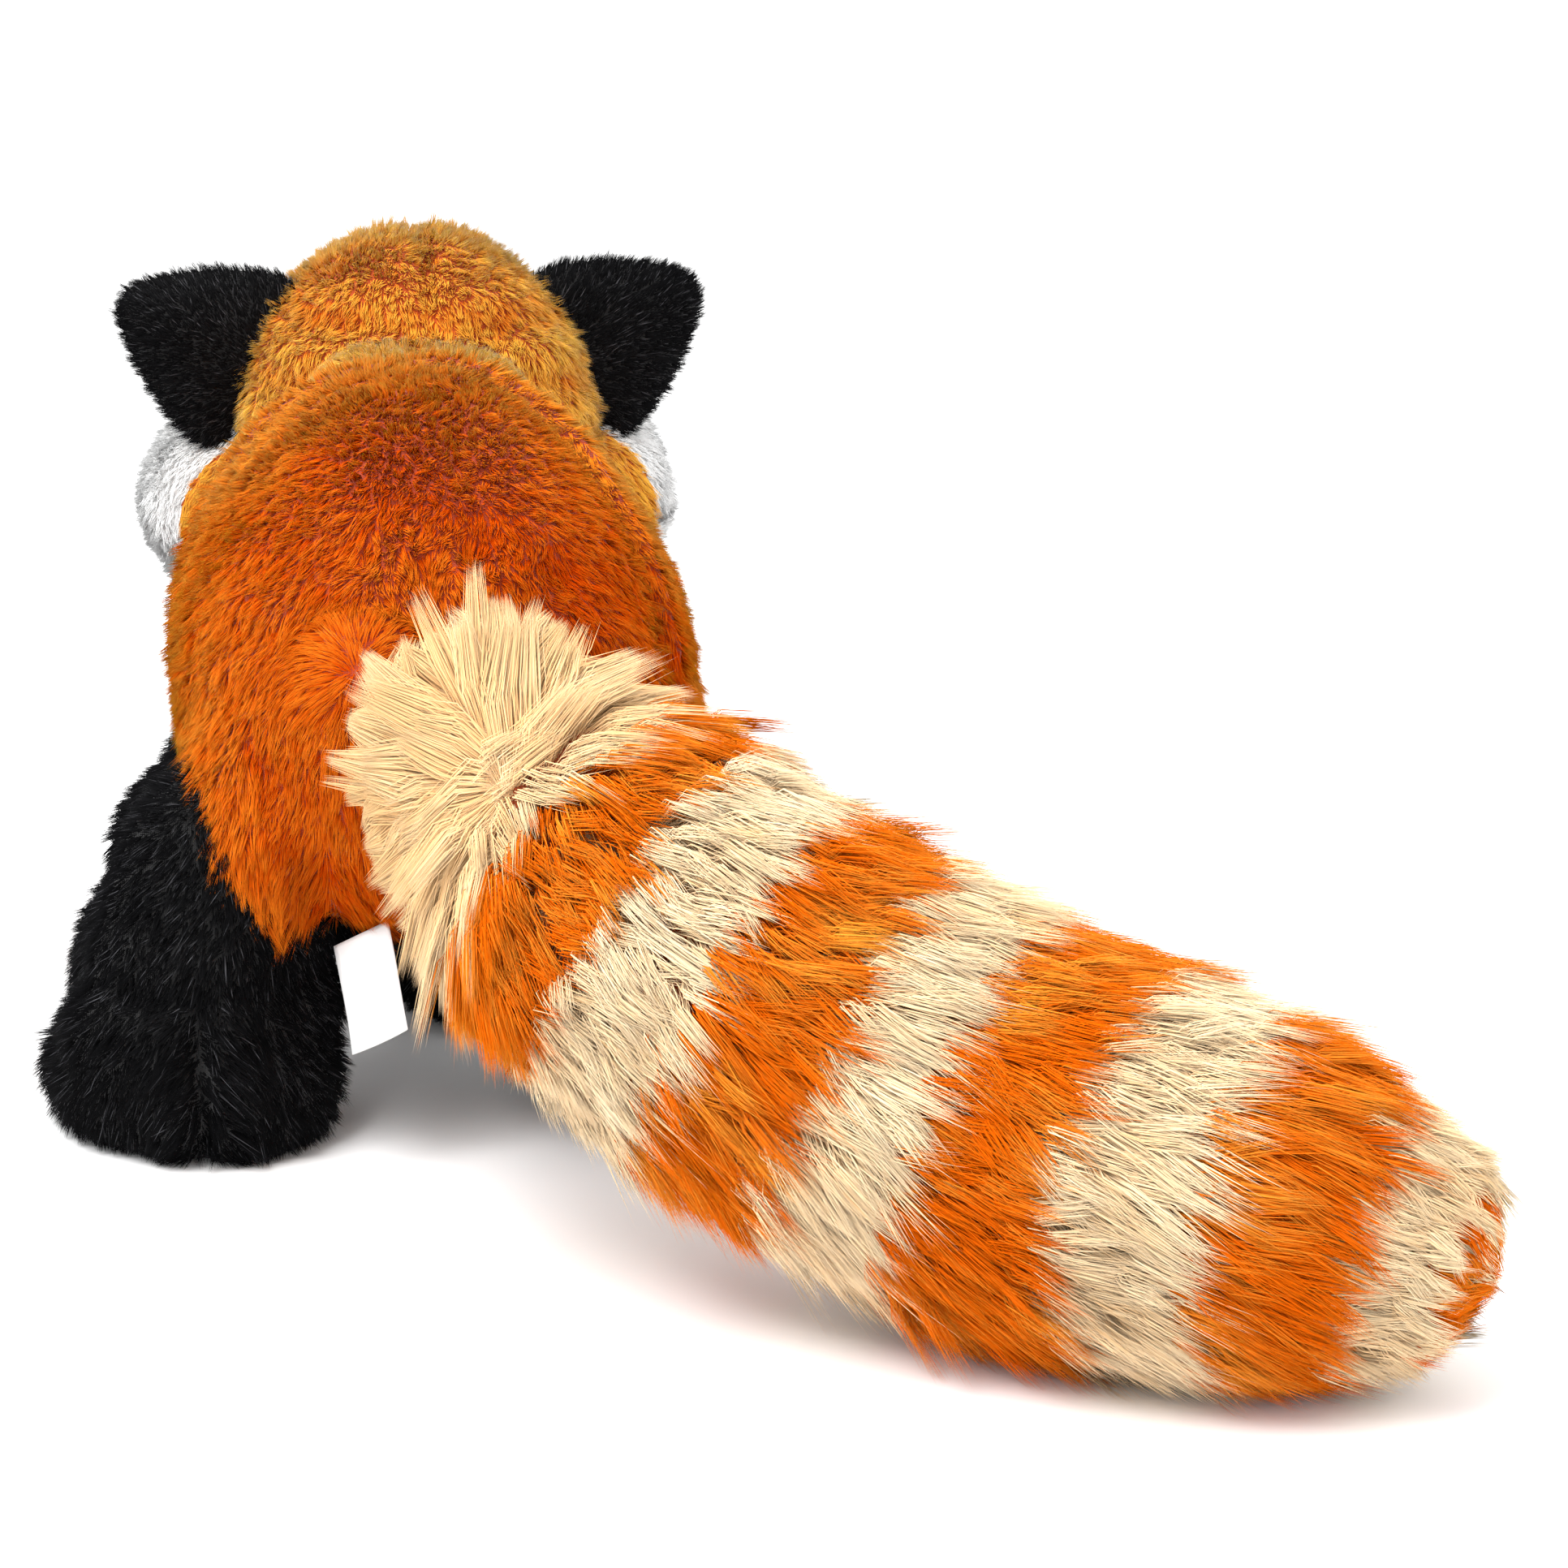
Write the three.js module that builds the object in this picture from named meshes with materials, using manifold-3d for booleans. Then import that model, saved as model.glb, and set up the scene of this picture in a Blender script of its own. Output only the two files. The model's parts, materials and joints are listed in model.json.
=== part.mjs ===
import * as THREE from 'three';
import { mergeVertices } from 'three/addons/utils/BufferGeometryUtils.js';
import Module from 'manifold-3d';

const wasm = await Module();
wasm.setup();

// Driving sizes in millimetres. The animal faces -Y, its left side is +X and it stands on Z = 0.
// Outer surfaces run along the tips of the pile.
const PILE = 8;
const TAIL_CORE_SHARE = 0.6;
const SEAM_GAP = 0.3;
const SWING_GAP = 2.2;
const FUR_GAP = 3;
const STUFFING_SLACK = 4;
const PLUG_GRIP = 8;
const MOUTH_SHARE = 0.45;

// How many steps a form has round it and along it.
const BODY_STEPS = [14, 9];
const SOCKET_STEPS = [12, 7];
const LIMB_STEPS = [12, 6];
const HEAD_STEPS = [12, 7];
const TAIL_STEPS = [10, 13];
const TAIL_CORE_STEPS = [6, 8];
const BODY_FILL_STEPS = [8, 7];
const HEAD_FILL_STEPS = [8, 5];
const LEG_FILL_STEPS = [6, 5];
const EAR_STEPS = [12, 4];
const BEAD_STEPS = [8, 5];
const STITCH_STEPS = [6, 8];
const PIN_SIDES = 6;
const DISC_SIDES = 8;

const BODY_LENGTH = 190;
const BODY_WIDTH = 138;
const BODY_HEIGHT = 154;
const BELLY_CLEAR = 31;
const BACK_SEAM_HEIGHT = 56;
const BODY_SLOPE = 3;
const BODY_FULLNESS = 0.72;
const BODY_TAPER = 0.08;

const HEAD_WIDTH = 108;
const HEAD_HEIGHT = 128;
const HEAD_DEPTH = 116;
const HEAD_TOP = 208;
const HEAD_LEAN = -14;
const HEAD_FORWARD = 43;
const NECK_DIAMETER = 90;
const NECK_INSIDE_BODY = 13;
const NECK_DROP = 8;
const CHEEK_WIDTH = 160;
const CHEEK_DROP = 22;
const CHEEK_SEAM_OUT = 47;
const CHEEK_SEAM_BACK = 28;
const CHEEK_SEAM_RISE = 16;
const MUZZLE_WIDTH = 60;
const MUZZLE_DROP = 26;
const MUZZLE_SEAM = 59;
const CHEEK_SHARES = [0.2, 0.31, 0.28];
const CHEEK_AHEAD_SHARE = 0.15;
const MUZZLE_DEPTH_SHARE = 0.22;
const MUZZLE_HEIGHT_SHARE = 0.19;
const MUZZLE_AHEAD_SHARE = 0.48;
const FACE_SEAM = 3.5;
const HEAD_TURN = 12;

const EYE_DIAMETER = 13;
const EYE_SPACING = 52;
const EYE_RISE = 9;
const BROW_RISE = 35;
const PIN_DIAMETER = 4;
const PIN_END = 2;
const NOSE_WIDTH = 18;
const WASHER_DIAMETER = 17;
const WASHER_THICKNESS = 2;
const WASHER_DEPTH = 14;
const STITCH_DIAMETER = 1.6;
const NOSE_AHEAD_SHARE = 0.94;
const NOSE_RISE_SHARE = 0.3;
const NOSE_DEPTH_SHARE = 0.3;
const NOSE_HEIGHT_SHARE = 0.36;
const NOSE_WASHER_SHARE = 0.66;
const MOUTH_SPAN_SHARE = 0.42;
const MOUTH_DROP_SHARE = 0.52;
const MOUTH_SMILE_SHARE = 0.26;
const BROW_SHARE = 0.75;
const BROW_REACH = 20;

const EAR_BASE = 70;
const EAR_HEIGHT = 54;
const EAR_THICKNESS = 14;
const EAR_BOW = 5;
const EAR_SLOPE = 29;
const EAR_ROOT_OUT = 41;
const EAR_ROOT_DROP = 1.8;
const EAR_FOLD = 18;
const EAR_FOLD_SPARE = 6;
const EAR_MIDDLE_SHARE = 0.45;
const EAR_RIM_POWER = 0.6;
const EAR_TOP_POWER = 0.8;
const EAR_SIDE_POWER = 0.75;
const EAR_TAPER = 0.72;
const EAR_TAPER_POWER = 1.2;
const EAR_RELIEF_REACH = 40;
const EAR_RELIEF_SHARE = 1.22;

const LEG_SWING = 12;
const HIP_HEIGHT = 79;
const HIP_SPACING = 106;
const SHOULDER_SPACING = 91;
const HIND_BACK = 42;
const FRONT_FORWARD = 49;
const HIND_BALL = 29;
const HIND_ANKLE = 35;
const HIND_FOOT_LENGTH = 90;
const HIND_FOOT_WIDTH = 68;
const FRONT_BALL = 29;
const FRONT_ANKLE = 28;
const FRONT_FOOT_LENGTH = 74;
const FRONT_FOOT_WIDTH = 56;
const FOOT_HEIGHT = 42;
const FOOT_INSET = 3;
const HIND_ANKLE_BACK = 9;
const HIND_ANKLE_SINK = 6;
const HIND_FOOT_BACK = 2;
const HIND_FOOT_RISE = 12.6;
const HIND_FOOT_SHARE = 0.65;
const SHOULDER_DROP = 2;
const FRONT_ANKLE_AHEAD = 5;
const FRONT_ANKLE_SINK = 2;
const FRONT_FOOT_AHEAD = 8;
const FRONT_FOOT_RISE = 11.34;
const FRONT_FOOT_SHARE = 0.58;
const HIND_LEFT_STEP = 17;
const HIND_LEFT_SPLAY = 28;
const HIND_RIGHT_STEP = 6;
const HIND_RIGHT_SPLAY = 12;
const FRONT_LEFT_STEP = 20;
const FRONT_LEFT_SPLAY = 16;
const FRONT_RIGHT_STEP = -24;
const FRONT_RIGHT_SPLAY = 0;

const TAIL_WIDTH = 95;
const TAIL_ROOT_WIDTH = 82;
const TAIL_TIP_WIDTH = 56;
const TAIL_ROOT_PROUD = 26;
const TAIL_ROOT_ASIDE = 4;
const TAIL_ROOT_DROP = 4;
const TAIL_BANDS = 10;
const TAIL_REACH = 265;
const TAIL_ROUTE = [
  [0, 0, 0],
  [-0.0792, 0.1245, -0.0679],
  [-0.2, 0.3094, -0.1358],
  [-0.3736, 0.4491, -0.2113],
  [-0.5245, 0.5849, -0.2377],
  [-0.634, 0.634, -0.2679],
  [-0.683, 0.6717, -0.2868],
];

const LABEL_WIDTH = 16.5;
const LABEL_LENGTH = 30;
const LABEL_THICKNESS = 0.6;
const LABEL_LEAN = 30;
const LABEL_TILT = 28;
const LABEL_YAW = 30;
const LABEL_CURL = 1.5;
const LABEL_ASIDE = 29;
const LABEL_DROP = 1;
const LABEL_PROUD = 3;

const RUST = 0xb55a14;
const AMBER = 0xd98427;
const CREAM = 0xf1dcae;
const BLACK = 0x17161a;
const WHITE = 0xf2f0ea;
const FILL = 0xe9ebee;
const SATIN = 0xfafafa;

const BODY_MID = BELLY_CLEAR + BODY_HEIGHT / 2;
const HEAD_MID = HEAD_TOP - HEAD_HEIGHT / 2;
const BODY_FRONT = -BODY_LENGTH / 2;
const HEAD_CENTRE = new THREE.Vector3(HEAD_LEAN, BODY_FRONT - HEAD_FORWARD, HEAD_MID);
const NECK = new THREE.Vector3(HEAD_LEAN / 2, BODY_FRONT + NECK_INSIDE_BODY, HEAD_MID - NECK_DROP);
const NECK_BALL = NECK_DIAMETER / 2;
const TAIL_ROOT = new THREE.Vector3(
  TAIL_ROOT_ASIDE,
  BODY_LENGTH / 2 + TAIL_ROOT_PROUD,
  BODY_MID - TAIL_ROOT_DROP,
);

const AXIS_Y = new THREE.Vector3(0, 1, 0);
const AXIS_Z = new THREE.Vector3(0, 0, 1);

function solidOf(geometry) {
  const spots = geometry.getAttribute('position').array;
  return new wasm.Manifold(new wasm.Mesh({
    numProp: 3,
    vertProperties: Float32Array.from(spots),
    triVerts: Uint32Array.from(geometry.index.array),
  }));
}

function bareMerged(geometry) {
  const bare = new THREE.BufferGeometry();
  bare.setAttribute('position', geometry.getAttribute('position'));
  if (geometry.index) {
    bare.setIndex(geometry.index);
  }
  return mergeVertices(bare, 1e-4);
}

// A closed form: a standard geometry with every point moved by place().
function moulded(geometry, place) {
  const merged = bareMerged(geometry);
  const spots = merged.getAttribute('position');
  const spot = new THREE.Vector3();
  for (let i = 0; i < spots.count; i += 1) {
    spot.fromBufferAttribute(spots, i);
    const moved = place(spot.clone());
    spots.setXYZ(i, moved.x, moved.y, moved.z);
  }
  return solidOf(merged);
}

function ball(steps, place) {
  return moulded(new THREE.SphereGeometry(1, ...steps), place);
}

function ellipsoid(centre, half, steps, grow = 0, turn = 0) {
  return ball(steps, (d) => {
    const p = new THREE.Vector3(d.x * (half.x + grow), d.y * (half.y + grow), d.z * (half.z + grow));
    return p.applyAxisAngle(AXIS_Z, turn).add(centre);
  });
}

function box(centre, size) {
  const geometry = new THREE.BoxGeometry(size.x, size.y, size.z);
  return moulded(geometry, (p) => p.add(centre));
}

function rod(from, to, radius, around, phase = 0) {
  const length = from.distanceTo(to);
  const turn = new THREE.Quaternion().setFromUnitVectors(AXIS_Y, to.clone().sub(from).normalize());
  const middle = from.clone().add(to).multiplyScalar(0.5);
  const geometry = new THREE.CylinderGeometry(radius, radius, length, around, 1, false, phase);
  return moulded(geometry, (p) => p.applyQuaternion(turn).add(middle));
}

// A round root's socket, with a flat seat in it that the root's pole rests against.
function seated(socket, centre, direction, radius) {
  const seat = centre.clone().addScaledVector(direction, radius + SEAM_GAP);
  const beyond = centre.clone().addScaledVector(direction, 2 * radius);
  return socket.subtract(rod(seat, beyond, 2 * radius, DISC_SIDES));
}

function cutBy(solid, cutters) {
  return cutters.reduce((left, cutter) => left.subtract(cutter), solid);
}

function turned(solid, centre, axis, degrees) {
  const turn = new THREE.Matrix4().makeRotationAxis(axis, THREE.MathUtils.degToRad(degrees));
  const there = new THREE.Matrix4().makeTranslation(centre.x, centre.y, centre.z);
  const back = new THREE.Matrix4().makeTranslation(-centre.x, -centre.y, -centre.z);
  return solid.transform(there.multiply(turn).multiply(back).elements);
}

const WIDE = 900;
const CUBE = new THREE.Vector3(WIDE, WIDE, WIDE);
const BELOW_FLOOR = box(new THREE.Vector3(0, 0, -WIDE / 2), CUBE);

function floorAt(height) {
  return BELOW_FLOOR.translate([0, 0, height]);
}

function halfSpace(side, at) {
  return box(new THREE.Vector3(side * (WIDE / 2) + at, 0, 0), CUBE);
}

// Torso
function bodyForm(grow, steps) {
  return ball(steps, (d) => {
    const ring = Math.hypot(d.x, d.z);
    const full = ring > 1e-9 ? ring ** (BODY_FULLNESS - 1) : 0;
    const halfWidth = (BODY_WIDTH / 2) * (1 + BODY_TAPER * d.y) + grow;
    return new THREE.Vector3(
      d.x * full * halfWidth,
      d.y * (BODY_LENGTH / 2 + grow),
      BODY_MID - BODY_SLOPE * d.y + d.z * full * (BODY_HEIGHT / 2 + grow),
    );
  });
}

// The rump's surface behind a point given by x and z.
function rumpY(x, z) {
  let near = 0;
  let far = BODY_LENGTH / 2;
  for (let i = 0; i < 40; i += 1) {
    const y = (near + far) / 2;
    const along = y / (BODY_LENGTH / 2);
    const ring = Math.sqrt(1 - along * along) ** BODY_FULLNESS;
    const across = x / ((BODY_WIDTH / 2) * (1 + BODY_TAPER * along));
    const up = (z - BODY_MID + BODY_SLOPE * along) / (BODY_HEIGHT / 2);
    if (Math.hypot(across, up) < ring) {
      near = y;
    } else {
      far = y;
    }
  }
  return near;
}

// Legs: a ball at the root, a tapering limb and a foot. The feet stand as the toy was set down:
// the left ones out, the right ones tucked in.
function hindLeg(side, footAside, splayDegrees) {
  const footOut = side * (HIP_SPACING / 2 + footAside);
  return {
    side,
    root: new THREE.Vector3((side * HIP_SPACING) / 2, HIND_BACK, HIP_HEIGHT),
    rootRadius: HIND_BALL,
    ankle: new THREE.Vector3(
      footOut - side * FOOT_INSET,
      HIND_BACK + HIND_ANKLE_BACK,
      HIND_ANKLE - HIND_ANKLE_SINK,
    ),
    ankleRadius: HIND_ANKLE,
    foot: new THREE.Vector3(footOut, HIND_BACK + HIND_FOOT_BACK, HIND_FOOT_RISE),
    footHalf: new THREE.Vector3(
      HIND_FOOT_WIDTH / 2,
      HIND_FOOT_LENGTH / 2,
      FOOT_HEIGHT * HIND_FOOT_SHARE,
    ),
    splay: side * THREE.MathUtils.degToRad(splayDegrees),
  };
}

function frontLeg(side, footAside, splayDegrees) {
  const footOut = side * (SHOULDER_SPACING / 2 + footAside);
  return {
    side,
    root: new THREE.Vector3((side * SHOULDER_SPACING) / 2, -FRONT_FORWARD, HIP_HEIGHT - SHOULDER_DROP),
    rootRadius: FRONT_BALL,
    ankle: new THREE.Vector3(
      footOut - side * FOOT_INSET,
      -FRONT_FORWARD - FRONT_ANKLE_AHEAD,
      FRONT_ANKLE - FRONT_ANKLE_SINK,
    ),
    ankleRadius: FRONT_ANKLE,
    foot: new THREE.Vector3(footOut, -FRONT_FORWARD - FRONT_FOOT_AHEAD, FRONT_FOOT_RISE),
    footHalf: new THREE.Vector3(
      FRONT_FOOT_WIDTH / 2,
      FRONT_FOOT_LENGTH / 2,
      FOOT_HEIGHT * FRONT_FOOT_SHARE,
    ),
    splay: side * THREE.MathUtils.degToRad(splayDegrees),
  };
}

const LEGS = {
  hind_left: hindLeg(1, HIND_LEFT_STEP, HIND_LEFT_SPLAY),
  hind_right: hindLeg(-1, HIND_RIGHT_STEP, HIND_RIGHT_SPLAY),
  front_left: frontLeg(1, FRONT_LEFT_STEP, FRONT_LEFT_SPLAY),
  front_right: frontLeg(-1, FRONT_RIGHT_STEP, FRONT_RIGHT_SPLAY),
};

function limbForm(leg, grow, steps, sweep = 0) {
  const axis = leg.root.clone().sub(leg.ankle).normalize();
  const turn = new THREE.Quaternion().setFromUnitVectors(AXIS_Y, axis);
  return ball(steps, (d) => {
    const upper = d.y > -1e-6;
    const radius = (upper ? leg.rootRadius : leg.ankleRadius) + grow;
    d.applyQuaternion(turn);
    const side = upper ? 0 : THREE.MathUtils.clamp(4 * d.y, -1, 1);
    const p = d.multiplyScalar(radius).add(upper ? leg.root : leg.ankle);
    p.y += side * sweep;
    return p;
  });
}

function legForm(leg, grow, steps) {
  return limbForm(leg, grow, steps).add(ellipsoid(leg.foot, leg.footHalf, steps, grow, leg.splay));
}

// The room that a leg takes in the torso over its whole swing.
function legRoom(leg, gap, steps) {
  const sweep = leg.root.distanceTo(leg.ankle) * Math.sin(THREE.MathUtils.degToRad(LEG_SWING));
  return limbForm(leg, gap, steps, sweep);
}

// The mouth of a leg's cover, and the plug of body stuffing that turns in it.
function legMouth(leg) {
  const at = (reach) => leg.root.clone().add(new THREE.Vector3(-leg.side * reach, 0, 0));
  const halfStep = Math.PI / DISC_SIDES;
  const mouthRadius = leg.rootRadius * MOUTH_SHARE;
  const plugRadius = mouthRadius * Math.cos(halfStep) - SEAM_GAP;
  const depth = leg.rootRadius - PILE;
  const outside = leg.rootRadius + STUFFING_SLACK + PLUG_GRIP;
  return {
    mouth: rod(at(depth / 2), at(outside), mouthRadius, DISC_SIDES),
    plug: rod(at(depth), at(outside), plugRadius, DISC_SIDES, halfStep),
  };
}

function legPieces(leg) {
  const skin = legForm(leg, 0, LIMB_STEPS).subtract(floorAt(0));
  const room = legForm(leg, SEAM_GAP - PILE, LEG_FILL_STEPS).subtract(floorAt(PILE - SEAM_GAP));
  const fill = legForm(leg, -PILE, LEG_FILL_STEPS).subtract(floorAt(PILE));
  const { mouth, plug } = legMouth(leg);
  return { cover: cutBy(skin, [room, mouth]), fill: fill.subtract(mouth), plug };
}

// Tail: a curved, banded sleeve round a core.
// The route goes from the root towards the tip in shares of the tail's reach.
const TAIL_LINE = new THREE.CatmullRomCurve3(TAIL_ROUTE.map((share) => (
  new THREE.Vector3(...share).multiplyScalar(TAIL_REACH).add(TAIL_ROOT)
)));
const TAIL_SWELL = [
  [0, TAIL_ROOT_WIDTH],
  [0.16, TAIL_WIDTH],
  [0.6, TAIL_WIDTH],
  [0.8, 0.9 * TAIL_WIDTH],
  [1, TAIL_TIP_WIDTH],
];

function tailRadius(t) {
  let i = 1;
  while (i < TAIL_SWELL.length - 1 && TAIL_SWELL[i][0] < t) {
    i += 1;
  }
  const [fromT, fromWidth] = TAIL_SWELL[i - 1];
  const [toT, toWidth] = TAIL_SWELL[i];
  const k = THREE.MathUtils.smoothstep(t, fromT, toT);
  return (fromWidth + (toWidth - fromWidth) * k) / 2;
}

function tailFrame(t) {
  const centre = TAIL_LINE.getPointAt(THREE.MathUtils.clamp(t, 0, 1));
  const along = TAIL_LINE.getTangentAt(THREE.MathUtils.clamp(t, 0, 1));
  const across = new THREE.Vector3().crossVectors(along, AXIS_Z).normalize();
  const rise = new THREE.Vector3().crossVectors(across, along);
  return { centre, along, across, rise };
}

// share scales the sleeve's radius and grow adds to it. The ends are round: of the way from pole
// to pole, ROOT_END is the root's cap and the stretch after TIP_END is the tip's.
const ROOT_END = 0.22;
const TIP_END = 0.82;
const TIP_STRETCH = 0.9;

function tailForm(share, grow, steps) {
  const last = 1 - TAIL_TIP_WIDTH / 4 / TAIL_LINE.getLength();
  return ball(steps, (d) => {
    const polar = Math.acos(THREE.MathUtils.clamp(-d.y, -1, 1)) / Math.PI;
    const ring = Math.hypot(d.x, d.z);
    const cos = ring > 1e-9 ? d.x / ring : 1;
    const sin = ring > 1e-9 ? d.z / ring : 0;
    let t = (polar - ROOT_END) / (TIP_END - ROOT_END);
    let reach = 0;
    let round = 1;
    if (t < 0) {
      const angle = (polar / ROOT_END) * (Math.PI / 2);
      round = Math.sin(angle);
      reach = -Math.cos(angle);
      t = 0;
    } else if (t > 1) {
      const angle = ((1 - polar) / (1 - TIP_END)) * (Math.PI / 2);
      round = Math.sin(angle);
      reach = TIP_STRETCH * Math.cos(angle);
      t = 1;
    }
    const { centre, along, across, rise } = tailFrame(t * last);
    const radius = tailRadius(t * last) * share + grow;
    return centre
      .addScaledVector(across, cos * radius * round)
      .addScaledVector(rise, sin * radius * round)
      .addScaledVector(along, reach * radius);
  });
}

function tailSlab(from, to) {
  const geometry = new THREE.CylinderGeometry(TAIL_WIDTH * 0.6, TAIL_WIDTH * 0.6, 1, DISC_SIDES);
  return moulded(geometry, (p) => {
    const t = from + (0.5 - p.y) * (to - from);
    const { centre, along, across, rise } = tailFrame(t);
    const over = t < 0 ? t : Math.max(0, t - 1);
    return centre
      .addScaledVector(across, p.x)
      .addScaledVector(rise, -p.z)
      .addScaledVector(along, over * TAIL_LINE.getLength());
  });
}

// The room that the tail's round root takes in the rump, whichever way it wags.
function tailRoom(gap, steps) {
  const radius = TAIL_ROOT_WIDTH / 2;
  const socket = ellipsoid(TAIL_ROOT, new THREE.Vector3(radius, radius, radius), steps, gap);
  return seated(socket, TAIL_ROOT, tailFrame(0).along.negate(), radius);
}

// Head
const SKULL_HALF = new THREE.Vector3(HEAD_WIDTH / 2, HEAD_DEPTH / 2, HEAD_HEIGHT / 2);
const CHEEK_HALF = new THREE.Vector3(CHEEK_WIDTH, HEAD_DEPTH, HEAD_HEIGHT)
  .multiply(new THREE.Vector3(...CHEEK_SHARES));
const MUZZLE_HALF = new THREE.Vector3(
  MUZZLE_WIDTH / 2,
  HEAD_DEPTH * MUZZLE_DEPTH_SHARE,
  HEAD_HEIGHT * MUZZLE_HEIGHT_SHARE,
);
const CHEEK_OUT = CHEEK_WIDTH / 2 - CHEEK_HALF.x;
const MUZZLE_AHEAD = HEAD_DEPTH * MUZZLE_AHEAD_SHARE;
const MUZZLE = HEAD_CENTRE.clone().add(new THREE.Vector3(0, -MUZZLE_AHEAD, -MUZZLE_DROP));

function cheekCentre(side) {
  const ahead = HEAD_DEPTH * CHEEK_AHEAD_SHARE;
  return HEAD_CENTRE.clone().add(new THREE.Vector3(side * CHEEK_OUT, -ahead, -CHEEK_DROP));
}

function neckForm(grow, steps) {
  return ellipsoid(NECK, new THREE.Vector3(NECK_BALL, NECK_BALL, NECK_BALL), steps, grow);
}

function skullForm(grow, steps) {
  return ellipsoid(HEAD_CENTRE, SKULL_HALF, steps, grow);
}

function headForm(grow, steps) {
  return skullForm(grow, steps)
    .add(ellipsoid(cheekCentre(1), CHEEK_HALF, steps, grow))
    .add(ellipsoid(cheekCentre(-1), CHEEK_HALF, steps, grow))
    .add(ellipsoid(MUZZLE, MUZZLE_HALF, steps, grow))
    .add(neckForm(grow, steps));
}

// The room that the head takes in the torso over its whole turn.
function headRoom(gap, steps) {
  let room = seated(neckForm(gap, steps), NECK, AXIS_Y, NECK_BALL);
  for (const degrees of [-HEAD_TURN, 0, HEAD_TURN]) {
    room = room.add(turned(skullForm(gap, steps), NECK, AXIS_Z, degrees));
  }
  return room;
}

// The skull's front surface at a height and a distance from the middle of the face.
function faceY(out, z) {
  const across = out / SKULL_HALF.x;
  const up = (z - HEAD_MID) / SKULL_HALF.z;
  return HEAD_CENTRE.y - SKULL_HALF.y * Math.sqrt(Math.max(0, 1 - across * across - up * up));
}

// Ears: two cupped layers sewn rim to rim. The root edge is the fold line.
function earFrame(side) {
  const slope = THREE.MathUtils.degToRad(EAR_SLOPE);
  const along = new THREE.Vector3(-side * Math.sin(slope), 0, Math.cos(slope));
  const out = new THREE.Vector3(side * Math.cos(slope), 0, Math.sin(slope));
  const root = HEAD_CENTRE.clone()
    .addScaledVector(out, EAR_ROOT_OUT)
    .addScaledVector(along, -EAR_ROOT_DROP)
    .add(new THREE.Vector3(0, FACE_SEAM, 0));
  return { along, out, root };
}

function bent(value, power) {
  return Math.sign(value) * Math.abs(value) ** power;
}

function earLayer(side, sign) {
  const { along, out, root } = earFrame(side);
  const thick = EAR_THICKNESS / 2 - SEAM_GAP / 2;
  const middle = EAR_HEIGHT * EAR_MIDDLE_SHARE;
  return ball(EAR_STEPS, (d) => {
    const ring = Math.hypot(d.x, d.z);
    const rim = ring ** EAR_RIM_POWER;
    const cos = ring > 1e-9 ? d.x / ring : 1;
    const sin = ring > 1e-9 ? (-d.z * sign * side) / ring : 0;
    const top = (1 + bent(sin, EAR_TOP_POWER)) / 2;
    const narrow = 1 - EAR_TAPER * top ** EAR_TAPER_POWER;
    const across = bent(cos, EAR_SIDE_POWER) * (EAR_BASE / 2) * narrow;
    const rise = middle + (top * EAR_HEIGHT - middle) * rim;
    const bow = EAR_BOW * rim * rim * (rise / EAR_HEIGHT);
    const bulge = Math.max(0, d.y) * thick + SEAM_GAP / 2;
    const p = root.clone().addScaledVector(along, across * rim).addScaledVector(out, rise);
    p.y += sign * bulge - bow;
    return p;
  });
}

// The wedge in the head that an ear folds in, as deep as its seat lies under the ear's root.
function earRelief(side, seat) {
  const { along, out, root } = earFrame(side);
  const widest = THREE.MathUtils.degToRad(EAR_FOLD + EAR_FOLD_SPARE);
  const spread = Math.tan(widest) * EAR_RELIEF_REACH;
  return moulded(new THREE.BoxGeometry(1, 1, 1), (p) => {
    const half = EAR_THICKNESS / 2 + SWING_GAP + (p.z > 0 ? spread : 0);
    const spot = root.clone()
      .addScaledVector(along, -side * p.x * EAR_BASE * EAR_RELIEF_SHARE)
      .addScaledVector(out, p.z > 0 ? EAR_RELIEF_REACH : -seat);
    spot.y += 2 * p.y * half;
    return spot;
  });
}

// Care label: a bare satin strip sewn into the seam under the rump.
const LABEL_Z = BACK_SEAM_HEIGHT - LABEL_DROP;
const LABEL_TOP = new THREE.Vector3(
  LABEL_ASIDE,
  rumpY(LABEL_ASIDE, LABEL_Z) + LABEL_PROUD,
  LABEL_Z,
);

function labelTurned(direction) {
  return direction
    .applyAxisAngle(AXIS_Y, THREE.MathUtils.degToRad(LABEL_TILT))
    .applyAxisAngle(AXIS_Z, THREE.MathUtils.degToRad(-LABEL_YAW));
}

const LABEL_ACROSS = labelTurned(new THREE.Vector3(1, 0, 0));
const LABEL_DOWN = labelTurned(new THREE.Vector3(0, 0, -1))
  .applyAxisAngle(LABEL_ACROSS, THREE.MathUtils.degToRad(LABEL_LEAN));
const LABEL_FACE = new THREE.Vector3().crossVectors(LABEL_ACROSS, LABEL_DOWN);

function labelForm(grow) {
  return moulded(new THREE.BoxGeometry(1, 1, 1, 1, 1, 6), (p) => {
    const down = (0.5 - p.z) * (LABEL_LENGTH + 2 * grow) - grow;
    const curl = LABEL_CURL * (down / LABEL_LENGTH) ** 2;
    return LABEL_TOP.clone()
      .addScaledVector(LABEL_ACROSS, p.x * (LABEL_WIDTH + 2 * grow))
      .addScaledVector(LABEL_DOWN, down)
      .addScaledVector(LABEL_FACE, p.y * (LABEL_THICKNESS + 2 * grow) + curl);
  });
}

const nodes = [];

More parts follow.
